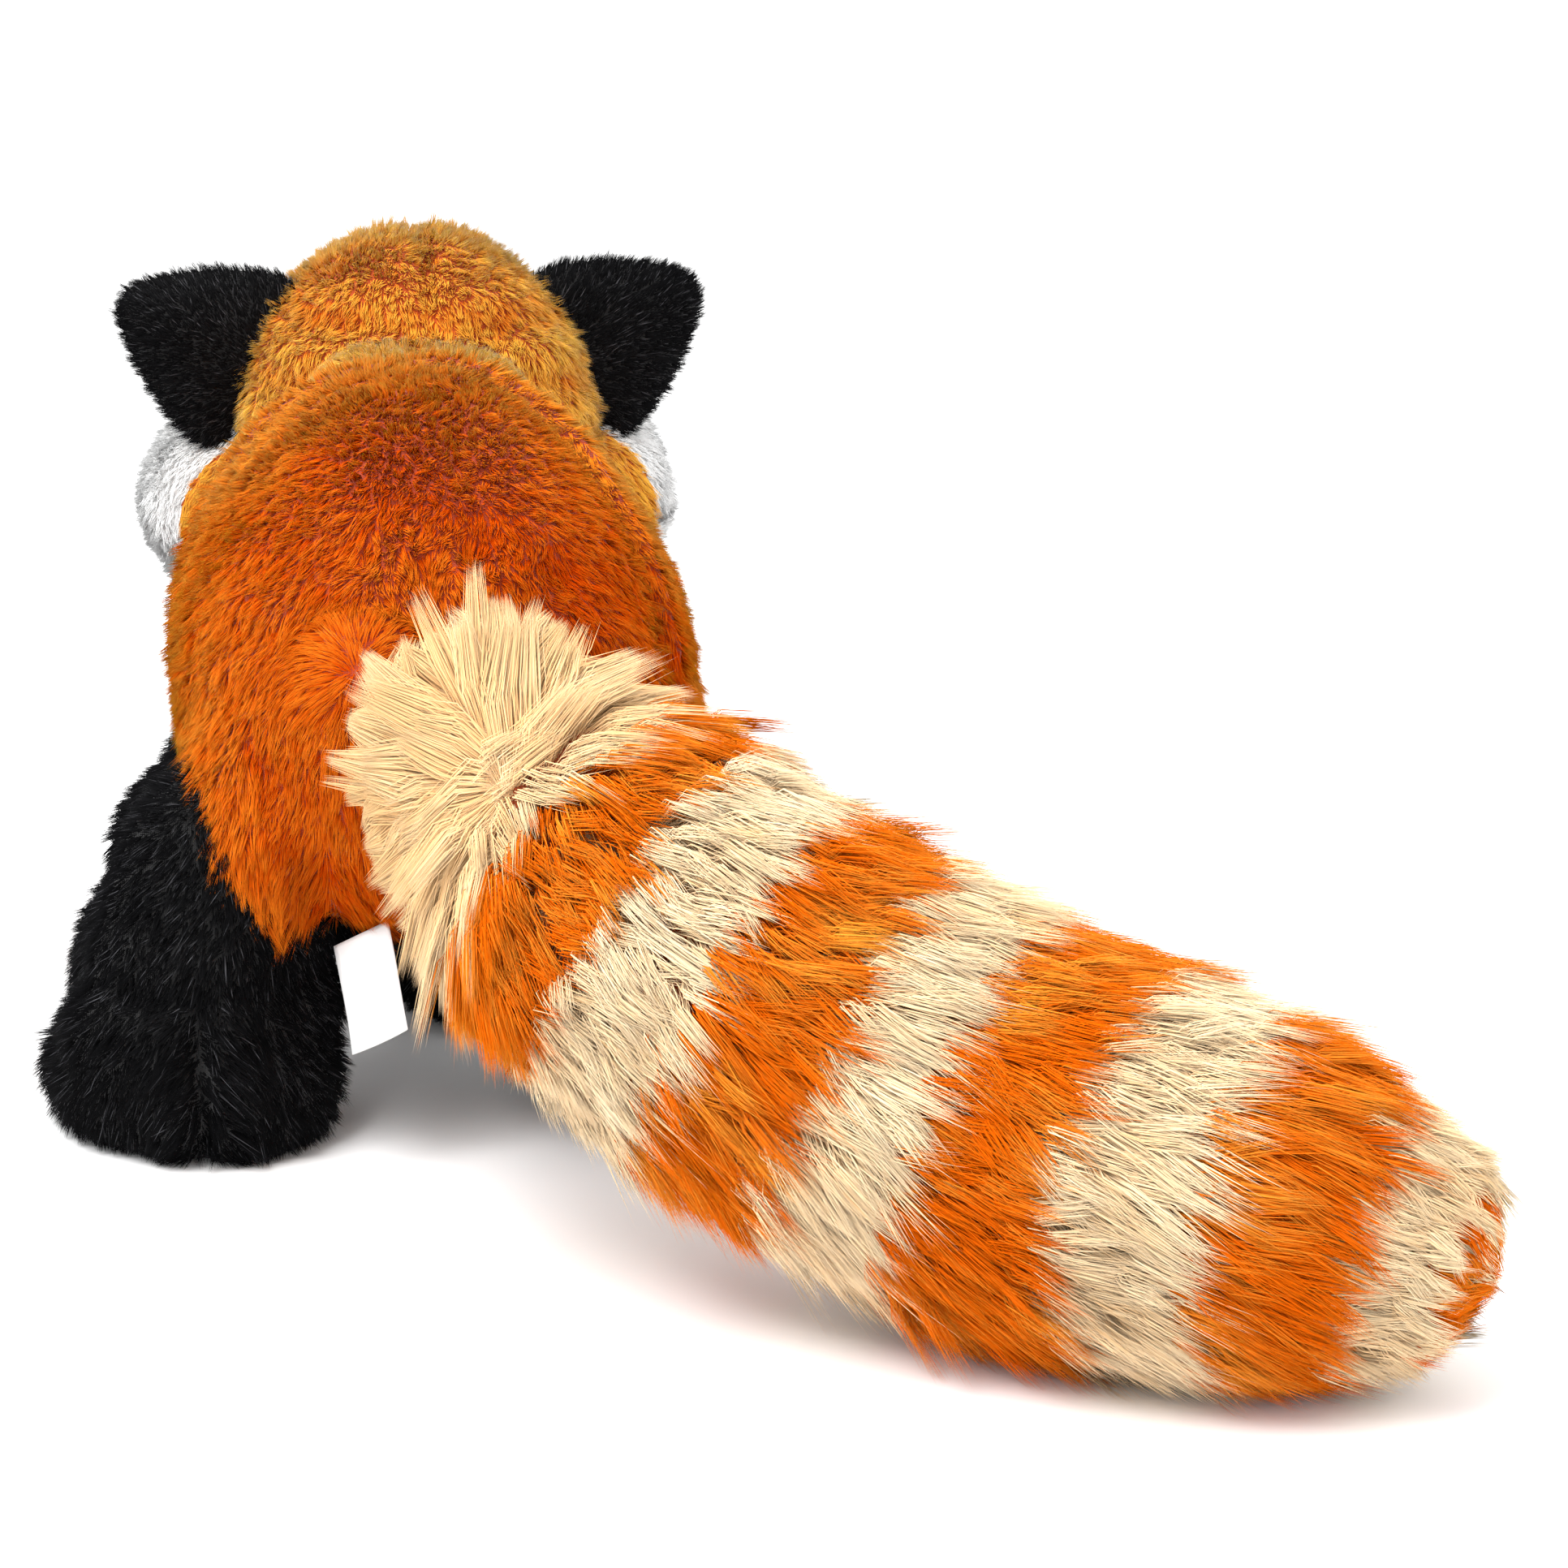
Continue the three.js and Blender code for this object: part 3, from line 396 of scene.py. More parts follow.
def neck_fold(points):
    """How far points are behind the fold where the neck meets the back, in millimetres."""
    return points[:, 1] - NECK_FOLD + NECK_FOLD_TURN * np.minimum(points[:, 0], 0)


def in_torso(points, grow=0.0):
    """Which points lie inside the torso, grown by so many millimetres."""
    y = points[:, 1] / (BODY_HALF[1] + grow)
    ring = np.sqrt(np.maximum(1 - y * y, 0))
    x = points[:, 0] / ((BODY_HALF[0] + grow) * (1 + BODY_TAPER * y))
    z = (points[:, 2] - BODY_MID + BODY_SLOPE * y) / (BODY_HALF[2] + grow)
    return np.hypot(x, z) < ring ** BODY_FULLNESS


def head_blobs():
    cheeks = [blob(HEAD + np.array(CHEEK_OFF) * (side, 1, 1), CHEEK_HALF) for _, side in SIDES]
    return [[blob(HEAD, SKULL_HALF)], cheeks, [blob(MUZZLE, MUZZLE_HALF)], [blob(NECK, NECK_RADIUS)]]


def leg_blobs(name):
    leg = LEGS[name]
    root = joint_spot(f"{name}_leg_swing")
    foot = np.array(leg["foot"])
    inward = ANKLE_INWARD * np.sign(root[0])
    ankle = np.array([foot[0] - inward, leg["back"], leg["lift"]])
    limb = [blob(root + (ankle - root) * k, LEG_ROOT_RADIUS + (leg["ankle"] - LEG_ROOT_RADIUS) * k)
            for k in np.linspace(0, 1, LEG_BALLS)]
    return ankle + LEG_CENTRE, [limb, [blob(foot, leg["half"], leg["splay"])]]


def curve_points(spots, count):
    """A centripetal curve through the spots at even steps of its length."""
    spots = np.asarray(spots, float)
    ends = np.vstack([2 * spots[0] - spots[1], spots, 2 * spots[-1] - spots[-2]])
    fine = []
    for p0, p1, p2, p3 in zip(ends, ends[1:], ends[2:], ends[3:]):
        d0, d1, d2 = (math.sqrt(np.linalg.norm(b - a)) for a, b in ((p0, p1), (p1, p2), (p2, p3)))
        out = d1 * ((p1 - p0) / d0 - (p2 - p0) / (d0 + d1) + (p2 - p1) / d1)
        into = d1 * ((p2 - p1) / d1 - (p3 - p1) / (d1 + d2) + (p3 - p2) / d2)
        w = np.linspace(0, 1, 40, endpoint=False)[:, None]
        fine.append(p1 + out * w + (3 * (p2 - p1) - 2 * out - into) * w**2
                    + (2 * (p1 - p2) + out + into) * w**3)
    fine = np.vstack(fine + [spots[-1:]])
    gone = np.concatenate([[0], np.cumsum(np.linalg.norm(np.diff(fine, axis=0), axis=1))])
    even = np.linspace(0, gone[-1], count)
    return rows_at(even, gone, fine), gone[-1]


class TailLine:
    """The line that the tail follows, with the sleeve's radius along it."""

    def __init__(self):
        self.line, self.length = curve_points(TAIL_ROOT + np.array(TAIL_STEPS), 400)
        self.along = unit(np.gradient(self.line, axis=0))
        self.shares = np.linspace(0, 1, len(self.line))

    def at(self, t):
        t = np.clip(t, 0, 1)
        centre = rows_at(t, self.shares, self.line)
        along = unit(rows_at(t, self.shares, self.along))
        across = unit(np.cross(along, (0, 0, 1)))
        return centre, along, across, np.cross(across, along)

    def radius(self, t):
        spots, radii = (np.array(values) for values in TAIL_SWELL)
        i = np.clip(np.searchsorted(spots, t, side="left"), 1, len(spots) - 1)
        k = step(t, spots[i - 1], spots[i])
        return radii[i - 1] + (radii[i] - radii[i - 1]) * k

    def form(self, root_share, share):
        """The sleeve, its radius scaled by root_share at the root and by share further on."""
        directions, tris = globe(150, 72)
        polar = np.arccos(np.clip(-directions[:, 1], -1, 1)) / np.pi
        ring = np.maximum(np.hypot(directions[:, 0], directions[:, 2]), 1e-9)
        cos, sin = directions[:, 0] / ring, directions[:, 2] / ring
        place = (polar - ROOT_END) / (TIP_END - ROOT_END)
        angle = np.where(place < 0, polar / ROOT_END, np.where(place > 1, (1 - polar) / (1 - TIP_END), 1))
        angle = angle * np.pi / 2
        over = np.where(place < 0, -1, np.where(place > 1, TIP_BULGE, 0)) * np.cos(angle)
        t = np.clip(place, 0, 1) * (1 - TIP_SHORT / self.length)
        centre, along, across, rise = self.at(t)
        early = step(t, ROOT_STRETCH, 0)
        radius = self.radius(t) * (share + (root_share - share) * early) * (1 - TIP_SLIM * step(t, 0.7, 1))
        wide = cos * radius * np.sin(angle) * (1 - ROOT_NARROW * early)
        high = sin * radius * np.sin(angle) * (1 + ROOT_RAISE * early)
        points = centre + across * wide[:, None] + rise * high[:, None] + along * (over * radius)[:, None]
        return Form(points, tris)

    def place(self, points):
        """Each point's nearest place on the line, from 0 to 1, past the ends where it lies beyond them."""
        near = nearest(self.line, points)
        beyond = np.einsum("ij,ij->i", points - self.line[near], self.along[near]) / self.length
        return self.shares[near] + beyond


def ear_frame(side):
    along = np.array([-side * math.sin(EAR_SLOPE), 0, math.cos(EAR_SLOPE)])
    out = np.array([side * math.cos(EAR_SLOPE), 0, math.sin(EAR_SLOPE)])
    return along, out, HEAD + out * EAR_ROOT_OUT - along * EAR_ROOT_DROP + (0, EAR_SEAM, 0)


def ear_form(side, tall):
    """The ear's cloth, a pile's height inside its outline."""
    along, out, root = ear_frame(side)
    half, thick, height = (size - tall for size in EAR_HALF)
    directions, tris = globe(44, 96)
    ring = np.hypot(directions[:, 0], directions[:, 2])
    rim = ring**EAR_RIM
    cos, sin = (directions[:, k] / np.maximum(ring, 1e-9) for k in (0, 2))
    top = (1 + np.sign(sin) * np.abs(sin) ** EAR_TOP) / 2
    across = np.sign(cos) * np.abs(cos) ** EAR_SIDE * half * (1 - EAR_NARROW * top**EAR_TIP)
    middle = height * EAR_MIDDLE
    rise = middle + (top * height - middle) * rim
    points = root + along * (across * rim)[:, None] + out * rise[:, None]
    points[:, 1] += directions[:, 1] * thick - EAR_BOW * rim * rim * (rise / height)
    return Form(points, tris)


# Meshes

FILL_LUMPS = ((2.2, 14, 41), (1.2, 6, 42))
FINISHES = {}


def new_piece(name, points, loops, starts, material):
    """A mesh object from points in the toy's millimetres, corner ids and each face's first corner."""
    mesh = bpy.data.meshes.new(name)
    mesh.vertices.add(len(points))
    mesh.vertices.foreach_set("co", ((points + MIDDLE) * MM).astype(np.float32).ravel())
    mesh.loops.add(len(loops))
    mesh.loops.foreach_set("vertex_index", loops.astype(np.int32))
    mesh.polygons.add(len(starts))
    mesh.polygons.foreach_set("loop_start", starts.astype(np.int32))
    mesh.polygons.foreach_set("use_smooth", np.ones(len(starts), bool))
    mesh.update(calc_edges=True)
    piece = bpy.data.objects.new(name, mesh)
    bpy.context.scene.collection.objects.link(piece)
    mesh.materials.append(material)
    return piece


def form_piece(name, form, material):
    return new_piece(name, form.points, form.tris.ravel(), np.arange(len(form.tris)) * 3, material)


class Coat:
    """Tufts combed over a surface: the lines they follow, their widths and their tones."""

    FLATNESS, ROUNDING, FLOOR = 0.6, 0.3, 0.4
    RISE, LEVEL, LEAN, CURL = 1.7, 0.7, 0.3, 0.7
    OWN_STRAY, WAVE_TURN, CLUMP_POWER = 0.6, 4.5, 1.5
    TONE_STEP = 0.004

    def __init__(self, rng, roots, normals, flow, height, reach, steps=1, lock=15, clump=0.4, stray=0.15,
                 vary=0.12, droop=0.0, wave=0.0):
        count = len(roots)
        heads = np.flatnonzero(rng.random(count) < 1 / np.broadcast_to(lock, count))
        self.lock, self.locks = nearest(roots[heads], roots), len(heads)
        own = 1 + self.each_lock(rng, vary)
        height, reach = (np.broadcast_to(value, count) * own for value in (height, reach))
        s = np.linspace(0, 1, steps + 1)[None, :, None]
        turn = np.stack([self.each_lock(rng, stray) for _ in range(3)], -1)
        lean = (flow + turn + rng.normal(0, stray * self.OWN_STRAY, roots.shape)) * reach[:, None]
        path = roots[:, None] + (normals * height[:, None])[:, None] * (s * (self.RISE - self.LEVEL * s))
        path = path + lean[:, None] * (self.LEAN * s + self.CURL * s * s)
        phase = rng.uniform(0, 2 * np.pi, self.locks)[self.lock][:, None, None]
        path += np.cross(flow, normals)[:, None] * wave * s * np.sin(phase + self.WAVE_TURN * s)
        path[:, :, 2] -= droop * reach[:, None] * s[0, :, 0] ** 2
        path += (path[heads[self.lock]] - path) * np.reshape(clump, (-1, 1, 1)) * s**self.CLUMP_POWER
        path[:, :, 2] = np.maximum(path[:, :, 2], self.FLOOR)
        self.roots, self.normals, self.path, self.steps = roots, normals, path, steps

    def each_lock(self, rng, spread):
        """A random number for each lock, given to every tuft of it."""
        return rng.normal(0, spread, self.locks)[self.lock]

    def mottle(self, rng, each, lock):
        """Random tones, different for each tuft and for each lock."""
        return rng.normal(0, each, len(self.roots)) + self.each_lock(rng, lock)

    def piece(self, name, pick, width, shade, colour, body, node, taper=(1,)):
        """The picked tufts in one mesh: closed three-sided tapers with their tones in the palette map."""
        path, normals = self.path[pick], self.normals[pick]
        count, steps = len(path), self.steps
        if not count:
            raise RuntimeError(f"{name} has no tufts")
        width = np.broadcast_to(width, len(self.path))[pick]
        run = unit(np.gradient(path, axis=1))
        side = unit(np.cross(run, normals[:, None]) + 1e-6)
        lift = np.cross(side, run)
        corners = np.radians([90, 210, 330])
        spread = (side[:, :, None] * np.cos(corners)[:, None]
                  + lift[:, :, None] * np.sin(corners)[:, None] * self.FLATNESS)[:, :-1]
        rings = path[:, :-1, None] + spread * (width[:, None] * np.asarray(taper))[:, :, None, None]
        points = np.concatenate([rings.reshape(count, steps * 3, 3), path[:, -1:]], 1)
        faces, v_of = [(0, 1, 2)], [(0.0, 0.01, 0.02)]
        for k in range(steps):
            low, high = k / steps, (k + 1) / steps
            for c in range(3):
                a, b = k * 3 + c, k * 3 + (c + 1) % 3
                if k < steps - 1:
                    faces.append((a, a + 3, b + 3, b))
                    v_of.append((low, high, high, low))
                else:
                    faces.append((a, steps * 3, b))
                    v_of.append((low, high, low))
        flat_ids = np.concatenate([np.array(face) for face in faces])
        firsts = np.concatenate([[0], np.cumsum([len(face) for face in faces])[:-1]])
        each = steps * 3 + 1
        loops = (np.arange(count)[:, None] * each + flat_ids).ravel()
        starts = (np.arange(count)[:, None] * len(flat_ids) + firsts).ravel()
        made = new_piece(name, points.reshape(-1, 3), loops, starts, FINISHES[colour])
        soft = normals[:, None, None] * (1 - self.ROUNDING) + spread * self.ROUNDING
        soft = np.concatenate([soft.reshape(count, -1, 3), normals[:, None]], 1)
        made.data.normals_split_custom_set_from_vertices(unit(soft).reshape(-1, 3))
        corner_u = np.where(flat_ids == steps * 3, 0, (flat_ids % 3 - 1) * self.TONE_STEP)
        u = np.clip(shade[pick], 0.02, 0.98)[:, None] + corner_u
        v = np.broadcast_to(0.01 + 0.98 * np.concatenate([np.array(row) for row in v_of]), u.shape)
        layer = made.data.uv_layers.new(name=PALETTE)
        layer.data.foreach_set("uv", np.stack([u, v], -1).astype(np.float32).ravel())
        return dress(made, body, (node,))


def along_surface(vectors, normals):
    """The vectors laid flat on the surface."""
    return unit(vectors - normals * np.einsum("ij,ij->i", vectors, normals)[:, None])


def dress(piece, body, nodes):
    """The piece rides on the body and hides the nodes that it stands for."""
    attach(piece, body)
    if nodes:
        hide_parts(*nodes)
    return piece


def backing(name, form, body, slots, which=None):
    """The stuffed cloth form under a pile, each triangle in the cloth of the slot that which names."""
    piece = dress(form_piece(name, form, FINISHES[f"{slots[0]}_cloth"]), body, ())
    for slot in slots[1:]:
        piece.data.materials.append(FINISHES[f"{slot}_cloth"])
    if which is not None:
        piece.data.polygons.foreach_set("material_index", np.asarray(which, np.int32))
    return piece


def stuffing(name, form, body, node):
    """A lumpy body of fibre inside a cover."""
    lumpy = form.inset(2 - lumps(form.points, FILL_LUMPS))
    piece = dress(form_piece(name, lumpy, FINISHES["fill"]), body, (node,))
    return piece


# Finishes

def new_group(name, inputs, outputs):
    group = bpy.data.node_groups.new(name, "ShaderNodeTree")
    for label, kind, value in inputs:
        group.interface.new_socket(name=label, in_out="INPUT", socket_type=kind).default_value = value
    for label, kind in outputs:
        group.interface.new_socket(name=label, in_out="OUTPUT", socket_type=kind)
    return group, group.nodes.new("NodeGroupInput").outputs, group.nodes.new("NodeGroupOutput")


def feed(tree, node, given):
    """Links or sets a node's inputs, by name or number."""
    for socket, value in given.items():
        if isinstance(value, bpy.types.NodeSocket):
            tree.links.new(value, node.inputs[socket])
        else:
            node.inputs[socket].default_value = value


def added(tree, kind, given, **settings):
    """The outputs of a new node with its settings and inputs."""
    node = tree.nodes.new("ShaderNode" + kind)
    for name, value in settings.items():
        setattr(node, name, value)
    feed(tree, node, given)
    return node.outputs


def mixed(tree, factor, first, second, blend="MIX"):
    return added(tree, "Mix", {0: factor, 6: first, 7: second}, data_type="RGBA", blend_type=blend)[2]


def ranged(tree, value, low, high, out_low=0.0, out_high=1.0):
    given = {0: value, 1: low, 2: high, 3: out_low, 4: out_high}
    return added(tree, "MapRange", given, interpolation_type="SMOOTHSTEP")[0]


def noise_of(tree, coordinate, scale):
    return added(tree, "TexNoise", {"Vector": coordinate, "Scale": scale, "Detail": 3.0})["Fac"]


def product(tree, first, second):
    return added(tree, "Math", {0: first, 1: second}, operation="MULTIPLY")[0]


def object_coordinate(tree):
    return added(tree, "TexCoord", {})["Object"]


def pile_group():
    """A tuft's colour from its tone across the palette and its height up the tuft, with painted shade
    darkening it towards its root.
    """
    group, given, out = new_group("Pile shade", [
        ("Dark", "NodeSocketColor", (0, 0, 0, 1)),
        ("Light", "NodeSocketColor", (1, 1, 1, 1)),
        ("Root Share", "NodeSocketFloat", 0.5),
    ], [("Colour", "NodeSocketColor"), ("Roughness", "NodeSocketFloat")])
    palette = added(group, "UVMap", {}, uv_map=PALETTE)[0]
    across, up, _ = added(group, "SeparateXYZ", {0: palette})
    shade = mixed(group, across, given["Dark"], given["Light"])
    # Painted shade: the lower part of each tuft is darkened towards a deeper copy of its dark tone.
    low = product(group, given["Root Share"], ranged(group, up, 0.6, 0.0))
    dark_root = mixed(group, 0.8, given["Dark"], given["Dark"], "MULTIPLY")
    rough = ranged(group, up, 0, 1, 0.8, 0.42)
    feed(group, out, {"Colour": mixed(group, low, shade, dark_root), "Roughness": rough})
    return group


def knit_group():
    """Knitted backing cloth: rows of loops, with their height, and painted shade darkening the gaps between
    loops.
    """
    group, given, out = new_group("Knit", [
        ("Colour", "NodeSocketColor", (1, 1, 1, 1)),
        ("Gap", "NodeSocketColor", (0, 0, 0, 1)),
        ("Rows", "NodeSocketFloat", 700),
    ], [("Colour", "NodeSocketColor"), ("Height", "NodeSocketFloat")])
    values = {"Vector": object_coordinate(group), "Scale": given["Rows"], "Distortion": 1.5}
    waves = [added(group, "TexWave", values, bands_direction=axis)["Fac"] for axis in ("X", "Z")]
    height = product(group, *waves)
    feed(group, out, {"Colour": mixed(group, height, given["Gap"], given["Colour"]), "Height": height})
    return group


def grain_group():
    """Fine cells and smudges: moulded skin, loose fibre or rubbed plastic."""
    group, given, out = new_group("Grain", [
        ("Colour", "NodeSocketColor", (1, 1, 1, 1)),
        ("Worn", "NodeSocketColor", (1, 1, 1, 1)),
        ("Scale", "NodeSocketFloat", 900),
    ], [("Colour", "NodeSocketColor"), ("Height", "NodeSocketFloat"), ("Roughness", "NodeSocketFloat")])
    where = object_coordinate(group)
    cells = added(group, "TexVoronoi", {"Vector": where, "Scale": given["Scale"]})["Distance"]
    smudge = noise_of(group, where, 160)
    feed(group, out, {
        "Colour": mixed(group, smudge, given["Colour"], given["Worn"]),
        "Height": cells,
        "Roughness": ranged(group, smudge, 0.3, 0.7, 0.18, 0.4),
    })
    return group


def shader(name, **fixed):
    """A material with one Principled shader, its constant values set on its own sockets."""
    made = bpy.data.materials.new(name)
    made.use_nodes = True
    main = made.node_tree.nodes["Principled BSDF"]
    feed(made.node_tree, main, {socket.replace("_", " "): value for socket, value in fixed.items()})
    return made, made.node_tree, main


def textured(name, group, values, rough=False, depth=0, **fixed):
    """A material with its colour, and where asked its roughness and bump, from a shared group."""
    made, tree, main = shader(name, **fixed)
    node = tree.nodes.new("ShaderNodeGroup")
    node.node_tree = group
    feed(tree, node, values)
    feed(tree, main, {"Base Color": node.outputs["Colour"]})
    if rough:
        feed(tree, main, {"Roughness": node.outputs["Roughness"]})
    if depth:
        bump = {"Strength": BUMP_STRENGTH, "Distance": depth * MM, "Height": node.outputs["Height"]}
        feed(tree, main, {"Normal": added(tree, "Bump", bump)["Normal"]})
    return made


def opaque(colour):
    return (*colour, 1.0)


def dimmed(colour, share):
    return tuple(value * share for value in colour)


PILES = ("rust", "amber", "cream", "black", "white")
BUMP_STRENGTH = 0.6
WASHER = tone(236, 234, 226)
# The thread's gap colour is painted shade in the grooves between its plies.
THREAD, THREAD_GAP = tone(30, 28, 27), tone(8, 8, 8)


def make_finishes():
    """Every material of the toy, once."""
    colours = group_of("colours")
    tuft, knit, grain = pile_group(), knit_group(), grain_group()
    for pile in PILES:
        dark, light = (tuple(getattr(colours, f"{pile}_{end}")) for end in ("dark", "light"))
        # How much painted shade darkens each pile towards its roots.
        root = 0.15 if pile in ("cream", "white") else 0.5
        glint, through = (0.04, 0.0) if pile == "black" else (0.0, 0.3)
        FINISHES[pile] = textured(
            f"{pile}_pile", tuft, {"Dark": opaque(dark), "Light": opaque(light), "Root Share": root},
            rough=True, Specular_IOR_Level=glint, Subsurface_Weight=through, Subsurface_Scale=MM,
            Subsurface_Radius=(0.14, 0.14, 0.14))
        # The backing's gap colour is painted shade between the knit's loops.
        FINISHES[f"{pile}_cloth"] = textured(
            f"{pile}_backing", knit, {"Colour": opaque(dimmed(dark, 0.9)), "Gap": opaque(dimmed(dark, 0.6))},
            depth=0.4, Roughness=0.9, Sheen_Weight=0.15)
    moulded = {"Coat_Weight": 0.4, "Coat_Roughness": 0.04, "Specular_IOR_Level": 0.3}
    grained = {"Coat_Weight": 0.15, "Coat_Roughness": 0.3, "Specular_IOR_Level": 0.3}
    for name, label, colour, worn, scale, depth, fixed in (
        ("fill", "loose_fibre", colours.fill, 0.86, 260, 1.5, {"Sheen_Weight": 0.3}),
        ("bead", "moulded_bead", colours.bead, 1.6, 500, 0.02, moulded),
        ("nose", "grained_nose", colours.bead, 2.2, 1100, 0.16, grained),
        ("washer", "moulded_washer", WASHER, 0.9, 900, 0.05, {}),
    ):
        values = {"Colour": opaque(colour), "Worn": opaque(dimmed(colour, worn)), "Scale": scale}
        FINISHES[name] = textured(label, grain, values, rough=name != "fill", depth=depth, **fixed)
    # The thread's and the satin's gap colours are painted shade in the grooves of twist and weave.
    values = {"Colour": opaque(THREAD), "Gap": opaque(THREAD_GAP), "Rows": 1400}
    FINISHES["thread"] = textured("thread", knit, values, depth=0.15, Roughness=0.6, Sheen_Weight=0.3)
    values = {"Colour": opaque(colours.satin), "Gap": opaque(dimmed(colours.satin, 0.86)), "Rows": 2200}
    FINISHES["satin"] = textured("satin_weave", knit, values, depth=0.06, Roughness=0.36, Sheen_Weight=0.25,
                                 Anisotropic=0.4)


# Operators

FLOOR_HALF = 8
# The share of black tufts that carry a painted glint.
BRIGHT_SHARE = 0.045


class PLUSH_OT_stage(bpy.types.Operator):
    """Camera, soft lights and pale floor"""

    bl_idname = "plush.stage"
    bl_label = "Stage"

    def execute(self, context):
        stage, scene = group_of("stage"), context.scene
        make_finishes()
        a, e = stage.azimuth, stage.elevation
        back = Vector((math.sin(a) * math.cos(e), -math.cos(a) * math.cos(e), math.sin(e)))
        target = Vector(stage.target)
        lens = bpy.data.cameras.new("photo_camera")
        lens.lens, lens.sensor_width = stage.lens, 36
        camera = bpy.data.objects.new("photo_camera", lens)
        camera.location = target + back * stage.distance
        camera.rotation_euler = back.to_track_quat("Z", "Y").to_euler()
        scene.collection.objects.link(camera)
        scene.camera = camera
        right = Vector((math.cos(a), math.sin(a), 0))
        level = Vector((back.x, back.y, 0)).normalized()
        for name, power, size, aside, near, high in (
            ("key", stage.key, 0.9, -0.55, 0.75, 1.3),
            ("side", stage.rim, 0.8, 1.3, 0.3, 0.8),
            ("front", stage.rim, 1.2, 0, -1.3, 1.1),
        ):
            off = right * aside + level * near + Vector((0, 0, high))
            self.lamp(scene, name, power, size, target, target + off)
        sky = bpy.data.worlds.new("sky")
        sky.use_nodes = True
        shade = sky.node_tree.nodes["Background"]
        feed(sky.node_tree, shade, {"Color": (1, 1, 1, 1), "Strength": stage.sky})
        scene.world = sky
        scene.view_settings.view_transform = "Standard"
        self.floor(scene)
        return {"FINISHED"}

    @staticmethod
    def lamp(scene, name, power, size, target, place):
        data = bpy.data.lights.new(name, "AREA")
        data.energy, data.size = power, size
        lamp = bpy.data.objects.new(name, data)
        lamp.location = place
        lamp.rotation_euler = (place - target).to_track_quat("Z", "Y").to_euler()
        scene.collection.objects.link(lamp)

    @staticmethod
    def floor(scene):
        made, tree, main = shader("pale_floor", Roughness=0.9)
        pale = group_of("colours").floor
        soft = ranged(tree, noise_of(tree, object_coordinate(tree), 3), 0, 1, 0.0, 0.06)
        feed(tree, main, {"Base Color": mixed(tree, soft, opaque(pale), opaque(dimmed(pale, 0.96)))})
        mesh = bpy.data.meshes.new("floor")
        corners = ((-1, -1), (1, -1), (1, 1), (-1, 1))
        mesh.from_pydata([(x * FLOOR_HALF, y * FLOOR_HALF, 0) for x, y in corners], [], [(0, 1, 2, 3)])
        mesh.materials.append(made)
        floor = bpy.data.objects.new("floor", mesh)
        scene.collection.objects.link(floor)


def body_width():
    return group_of("pile").body_fibre / MM


def others_of_torso():
    """The blobs of what is sewn to the torso."""
    shapes = [blob(NECK, NECK_RADIUS), blob(TAIL_ROOT, TAIL_SWELL[1][0] * 0.7)]
    for name in LEGS:
        shapes += [one for group in leg_blobs(name)[1] for one in group]
    return shapes


